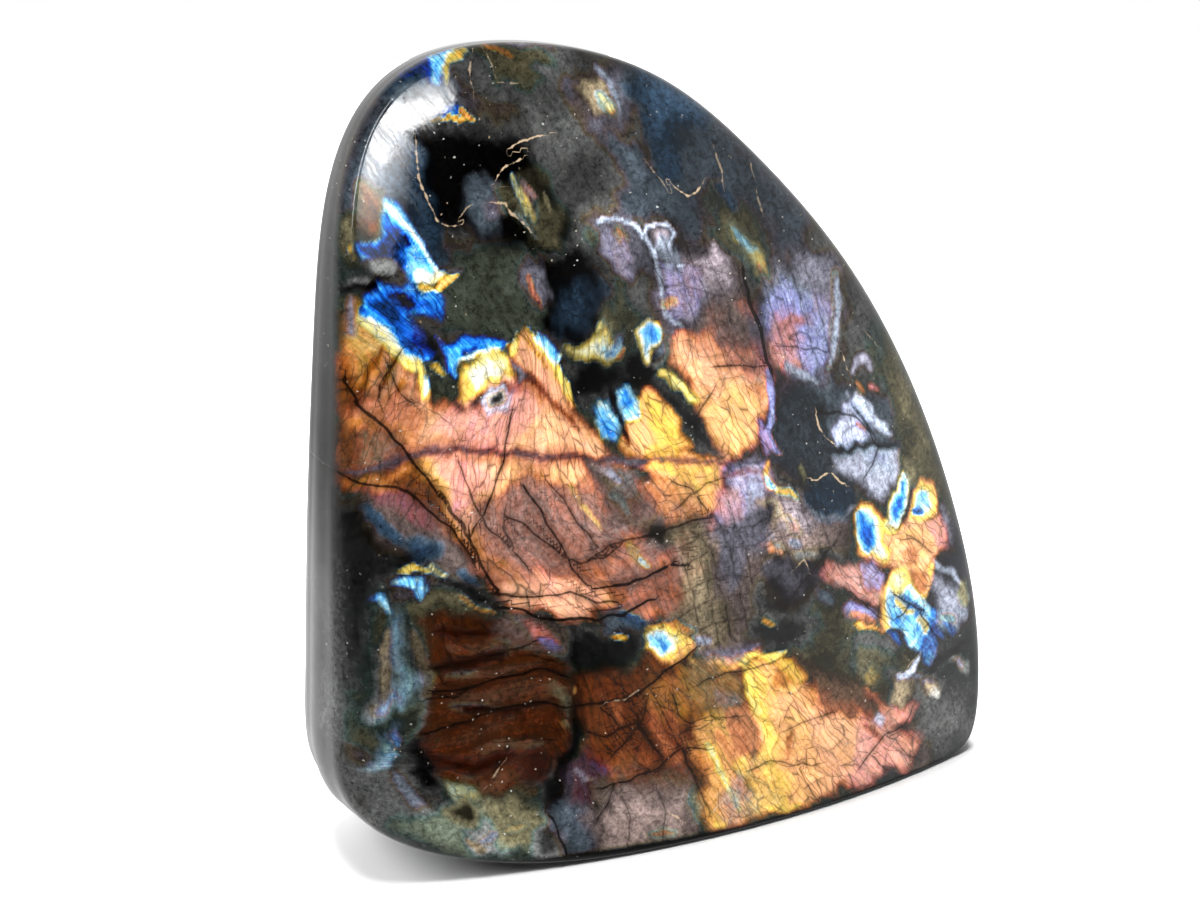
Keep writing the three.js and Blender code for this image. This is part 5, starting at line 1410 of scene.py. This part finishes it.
    # the haze: milky, with grains 0.5 mm wide, fibres along the lamellae and slow clouds, thin at hairlines
    milk = put("Math", (haze, look.haze_strength), operation="MULTIPLY")
    for ranges in (
        (grit, 0.34, 0.66, 0.4, 1.6),
        (fibres, 0.35, 0.68, 0.75, 1.25),
        (clouds, 0.3, 0.7, 0.55, 1.45),
        (hairlines, 0.0, 0.7, 1.0, put("MapRange", (strength, 0.0, 0.4, 0.8, 0.5))),
    ):
        milk = put("Math", (milk, put("MapRange", ranges)), operation="MULTIPLY")
    haze_colour = put("ValToRGB", (tint,))
    set_stops(haze_colour.color_ramp, HAZE_COLOURS)
    veil = put("VectorMath", (haze_colour, milk), operation="SCALE")
    base = put("VectorMath", (glow, veil), operation="ADD")

    # through cracks, black with a brown shadow beside them, and chips, filled with pale polish
    lines = []
    for (side, power, half_width), unevenness in ((cracks, 0.4), (chips, 1.1)):
        away = put("Math", (side,), operation="ABSOLUTE")
        reach = put("Math", (away, half_width), operation="SUBTRACT")
        reach = put("Math", (fine_offset, unevenness, reach), operation="MULTIPLY_ADD")
        reach = put("MapRange", (reach, -0.05, 0.09, 1.0, 0.0))
        lines.append(put("Math", (reach, power), operation="MULTIPLY"))
    side, power, half_width = cracks
    away = put("Math", (side,), operation="ABSOLUTE")
    spread = put("Math", (half_width, 7.0, 0.2), operation="MULTIPLY_ADD")
    shadow = put("Math", (put("MapRange", (away, 0.1, spread, 0.62, 0.0)), power), operation="MULTIPLY")

    # white and rusty flecks 0.2 mm wide, in drifts
    fleck_place = put("VectorMath", (grit.outputs["Color"], (1.2, 1.2, 1.2), mm), operation="MULTIPLY_ADD")
    fleck = put("TexVoronoi", (fleck_place, 0.7))
    fleck_size, fleck_tone, _ = put("SeparateXYZ", (fleck.outputs["Color"],)).outputs
    fleck_size = put("MapRange", (fleck_size, 0.0, 1.0, 0.02, 0.12))
    speck = put("Math", (fleck, fleck_size), operation="LESS_THAN")
    speck = put("Math", (speck, put("MapRange", (clouds, 0.42, 0.58, 0.0, 0.85))), operation="MULTIPLY")
    fleck_colour = put("Mix", (fleck_tone, WHITE_FLECK, RUSTY_FLECK), data_type="RGBA")

    for cover, paint in (
        (shadow, CRACK_SHADOW),
        (lines[0], CRACK),
        (lines[1], CHIP),
        (speck, fleck_colour),
    ):
        base = put("Mix", (cover, base, paint), data_type="RGBA")

    # polish: slight waves, grooves at the cracks, hairline scratches that dull it
    grooves = put("Math", (lines[0], -0.5), operation="MULTIPLY")
    relief = put("Math", (bend, 0.25, grooves), operation="MULTIPLY_ADD")
    bump = put("Bump", {"Height": relief, "Strength": 0.2, "Distance": 0.2 * MM})
    worn = put("MapRange", (haze, 0.0, 0.08, 0.1, 1.0))
    dulled = put("MapRange", (grit, 0.3, 0.7, 0.02, 0.08))
    scratched = put("MapRange", (stripes, 0.46, 0.74, 0.0, 0.12))
    rough = put("Math", (dulled, scratched), operation="ADD")
    rough = put("Math", (rough, worn, 0.02), operation="MULTIPLY_ADD")
    shader = put("BsdfPrincipled", {"Base Color": base, "Roughness": rough, "IOR": 1.56, "Normal": bump})
    put("OutputMaterial", {"Surface": shader})
    return material


def floor_paper(stage):
    """Matt white background paper, which shows as an even bright ground with a soft contact shadow."""
    material = bpy.data.materials.new("matt_white_paper")
    tree = empty_tree(material)
    shader = add(tree, "BsdfPrincipled", {"Base Color": (*stage.floor_colour, 1.0), "Roughness": 0.9})
    add(tree, "OutputMaterial", {"Surface": shader})
    return material


# --------------------
# Settings
# --------------------


class StoneLook(bpy.types.PropertyGroup):
    flash_strength: FloatProperty(
        name="Flash strength", description="Brightness of the interference colours", default=1.2, min=0, max=2
    )
    haze_strength: FloatProperty(
        name="Haze strength",
        description="Milkiness of the feldspar between the flash",
        default=1.0,
        min=0,
        max=3,
    )
    border_unrest: FloatProperty(
        name="Border unrest",
        description="How far fine noise shifts the interference order",
        default=0.16,
        min=0,
        max=1,
    )


class StudioLook(bpy.types.PropertyGroup):
    floor_colour: FloatVectorProperty(
        name="Floor colour",
        description="Colour of the paper",
        subtype="COLOR",
        default=(0.85, 0.85, 0.85),
        min=0,
        max=1,
    )
    azimuth: FloatProperty(
        name="Azimuth",
        description="Camera's turn about the stone, from the front",
        subtype="ANGLE",
        default=math.radians(-27.1),
    )
    elevation: FloatProperty(
        name="Elevation", description="Camera's height angle", subtype="ANGLE", default=math.radians(15.35)
    )
    distance: FloatProperty(
        name="Distance", description="From the camera to its target", unit="LENGTH", default=0.2977
    )
    target: FloatVectorProperty(
        name="Target",
        description="Point that the camera looks at",
        subtype="XYZ",
        default=(-0.0136, 0.0, 0.0671),
    )
    lens: FloatProperty(
        name="Lens", description="Focal length in millimetres", default=51.0, min=10, max=300
    )


# --------------------
# Studio
# --------------------

FLOOR_HALF = 3.0  # metres from the middle of the paper to its edges
MIDDLE = (0, 0, 0.06)  # of the stone
TOP_LEFT = (-0.05, 0, 0.12)
NOT_FLOOR, FLOOR = "all_but_floor", "floor_only"

# Area lights, in metres: name, place, target, width, height, turn in their own plane in degrees, power in
# watts, whether they show in reflections, and what they light. The front ones leave the floor out, so that
# the stone keeps a dark contact shadow.
LAMPS = (
    ("key_window", (0.1, -0.85, 1.15), MIDDLE, 0.8, 0.8, 0, 11.0, False, NOT_FLOOR),
    ("fill_right", (1.0, -0.9, 0.6), MIDDLE, 0.8, 0.8, 0, 4.5, False, NOT_FLOOR),
    ("fill_left", (-1.2, -0.2, 0.25), (-0.05, 0, 0.04), 0.6, 0.6, 0, 4.0, False, NOT_FLOOR),
    ("softbox_left", (-0.255, -1.0, 0.378), TOP_LEFT, 0.12, 0.04, 42, 0.32, True, NOT_FLOOR),
    ("softbox_right", (-0.17, -1.0, 0.409), TOP_LEFT, 0.16, 0.03, 12, 0.3, True, NOT_FLOOR),
    ("softbox_skirt", (-0.262, -1.02, 0.36), TOP_LEFT, 0.19, 0.075, 42, 0.14, True, NOT_FLOOR),
    ("softbox_tail", (-0.272, -1.03, 0.325), TOP_LEFT, 0.2, 0.1, 60, 0.07, True, NOT_FLOOR),
    ("bevel_strip", (-0.581, -0.891, 0.496), (-0.056, 0, 0.12), 0.45, 0.05, 59, 1.0, True, NOT_FLOOR),
    ("back_fill", (0.2, 1.2, 0.8), MIDDLE, 1.0, 1.0, 0, 8.0, False, None),
)
# Suns: name, power, spread, tilt about x and about y, all in degrees, and what they light. The stone has its
# light from straight above, the floor from a little behind and from the back left.
SUNS = (
    ("overhead", 3.4, 70, 0, 0, NOT_FLOOR),
    ("floor_light", 6.0, 27, -4.5, 1, FLOOR),
    ("floor_side", 3.4, 45, -20, -50, FLOOR),
)


def add_floor(scene, stage):
    """A square of paper at height 0."""
    corners = [(x * FLOOR_HALF, y * FLOOR_HALF, 0) for x, y in ((-1, -1), (1, -1), (1, 1), (-1, 1))]
    mesh = bpy.data.meshes.new("paper_floor")
    mesh.from_pydata(corners, [], [(0, 1, 2, 3)])
    mesh.materials.append(floor_paper(stage))
    floor = bpy.data.objects.new("paper_floor", mesh)
    scene.collection.objects.link(floor)
    floor.visible_glossy = False
    return floor


def add_lamp(scene, name, kind, power, seen, lit):
    """A lamp that lights the given collection, or everything if there is none."""
    light = bpy.data.lights.new(name, kind)
    light.energy = power
    lamp = bpy.data.objects.new(name, light)
    lamp.visible_glossy = seen
    scene.collection.objects.link(lamp)
    lamp.light_linking.receiver_collection = lit
    return lamp


def add_lamps(scene, floor):
    """The area lights and the suns, each with the objects that it lights."""
    lit = {None: None}
    for name, state in ((NOT_FLOOR, "EXCLUDE"), (FLOOR, "INCLUDE")):
        lit[name] = bpy.data.collections.new(name)
        lit[name].objects.link(floor)
        lit[name].collection_objects[0].light_linking.link_state = state
    for name, place, target, width, height, turn, power, seen, receivers in LAMPS:
        lamp = add_lamp(scene, name, "AREA", power, seen, lit[receivers])
        lamp.data.shape = "ELLIPSE"
        lamp.data.size = width
        lamp.data.size_y = height
        lamp.location = place
        lamp.rotation_euler = (Vector(target) - Vector(place)).to_track_quat("-Z", "Y").to_euler()
        lamp.rotation_euler.rotate_axis("Z", math.radians(turn))
    for name, power, spread, tilt, sway, receivers in SUNS:
        lamp = add_lamp(scene, name, "SUN", power, False, lit[receivers])
        lamp.data.angle = math.radians(spread)
        lamp.rotation_euler = (math.radians(tilt), math.radians(sway), 0)


def surroundings():
    """White for the camera, and for the polish the brightest of four glows over a dark room. Each runs evenly
    between two values of x, y or z on the unit sphere of directions."""
    world = bpy.data.worlds.new("studio")
    tree = empty_tree(world)
    put = partial(add, tree)
    x, y, z = put("SeparateXYZ", (put("TexCoord").outputs["Generated"],)).outputs
    # at the right, down to the ground
    right = put("MapRange", (x, 0.1, 0.9, 0.004, 0.6))
    most = put("MapRange", (z, -0.75, -0.4, 0.0, right))
    # behind, brightest above the horizon
    height = put("MapRange", (z, -0.35, 0.1, 0.25, 1.0))
    behind = put("MapRange", (y, 0.0, 0.6, 0.0, height))
    # low behind at the left, a pale ground that the side wall reflects
    low = put("MapRange", (z, -0.12, -0.3, 0.0, 1.0))
    low_left = put("MapRange", (x, 0.35, 0.0, 0.0, low))
    low_behind = put("MapRange", (y, 0.4, 0.75, 0.0, low_left))
    # below, faint
    below = put("MapRange", (z, -0.5, -0.9, 0.0, 0.2))
    for glow in (behind, low_behind, below):
        most = put("Math", (most, glow), operation="MAXIMUM")
    camera_ray = put("LightPath").outputs["Is Camera Ray"]
    strength = put("Mix", (camera_ray, most, 1.0), data_type="FLOAT")
    background = put("Background", {"Color": (1, 1, 1, 1), "Strength": strength})
    put("OutputWorld", {"Surface": background})
    return world


def add_camera(scene, stage):
    """The camera, at its distance from the target along azimuth and elevation, looking back at it."""
    lens = bpy.data.cameras.new("camera")
    lens.lens = stage.lens
    lens.sensor_width = 36
    lens.clip_start = 0.01
    camera = bpy.data.objects.new("camera", lens)
    flat = math.cos(stage.elevation)
    back = Vector(
        (math.sin(stage.azimuth) * flat, -math.cos(stage.azimuth) * flat, math.sin(stage.elevation))
    )
    camera.location = Vector(stage.target) + back * stage.distance
    camera.rotation_euler = (-back).to_track_quat("-Z", "Y").to_euler()
    scene.collection.objects.link(camera)
    scene.camera = camera


# --------------------
# Operators
# --------------------


def middle_shift(points):
    """What to take off the points, in millimetres, so that their box is centred on the CAD solid's box and
    stands on its foot."""
    lo, hi = points.min(axis=0), points.max(axis=0)
    cad_lo, cad_hi = np.array(STONE_LO) / MM, np.array(STONE_HI) / MM
    middle = (lo + hi) / 2 - (cad_lo + cad_hi) / 2
    return np.array([middle[0], middle[1], lo[2] - cad_lo[2]])


class STONE_OT_stone(bpy.types.Operator):
    """Build the polished stone over its CAD solid"""

    bl_idname = "stone.stone"
    bl_label = "Stone"

    def execute(self, context):
        points, quads, triangles = stone_surface()
        points = points - middle_shift(points)
        mesh = write_mesh("labradorite", points, quads, triangles, stone_fields(points))
        mesh.materials.append(labradorite(context.scene.stone_look))
        stone = bpy.data.objects.new("labradorite", mesh)
        context.scene.collection.objects.link(stone)
        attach(stone, "root")
        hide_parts(NODE)
        return {"FINISHED"}


class STONE_OT_studio(bpy.types.Operator):
    """Set up the paper floor, the lights, the surroundings and the camera"""

    bl_idname = "stone.studio"
    bl_label = "Studio"

    def execute(self, context):
        scene = context.scene
        floor = add_floor(scene, scene.studio_look)
        add_lamps(scene, floor)
        scene.world = surroundings()
        add_camera(scene, scene.studio_look)
        scene.view_settings.view_transform = "Standard"
        return {"FINISHED"}


class STONE_PT_panel(bpy.types.Panel):
    """Sizes and looks of the stone and its studio"""

    bl_idname = "STONE_PT_panel"
    bl_label = "Labradorite freeform"
    bl_space_type = "VIEW_3D"
    bl_region_type = "UI"
    bl_category = "Stone"

    def draw(self, context):
        for group in (context.scene.stone_look, context.scene.studio_look):
            for key in group.bl_rna.properties.keys():
                if key not in ("rna_type", "name"):
                    self.layout.prop(group, key)
        for operator in OPERATORS:
            self.layout.operator(operator.bl_idname)


GROUPS = (StoneLook, StudioLook)
OPERATORS = (STONE_OT_stone, STONE_OT_studio)


def register():
    """Registers the classes and hangs the settings on the scene."""
    for cls in GROUPS + OPERATORS + (STONE_PT_panel,):
        bpy.utils.register_class(cls)
    bpy.types.Scene.stone_look = PointerProperty(type=StoneLook)
    bpy.types.Scene.studio_look = PointerProperty(type=StudioLook)


def unregister():
    """Takes off what register put on."""
    del bpy.types.Scene.studio_look
    del bpy.types.Scene.stone_look
    for cls in reversed(GROUPS + OPERATORS + (STONE_PT_panel,)):
        bpy.utils.unregister_class(cls)


def main():
    """Builds the studio and the stone."""
    register()
    bpy.ops.stone.studio()
    bpy.ops.stone.stone()


if __name__ == "__main__":
    main()
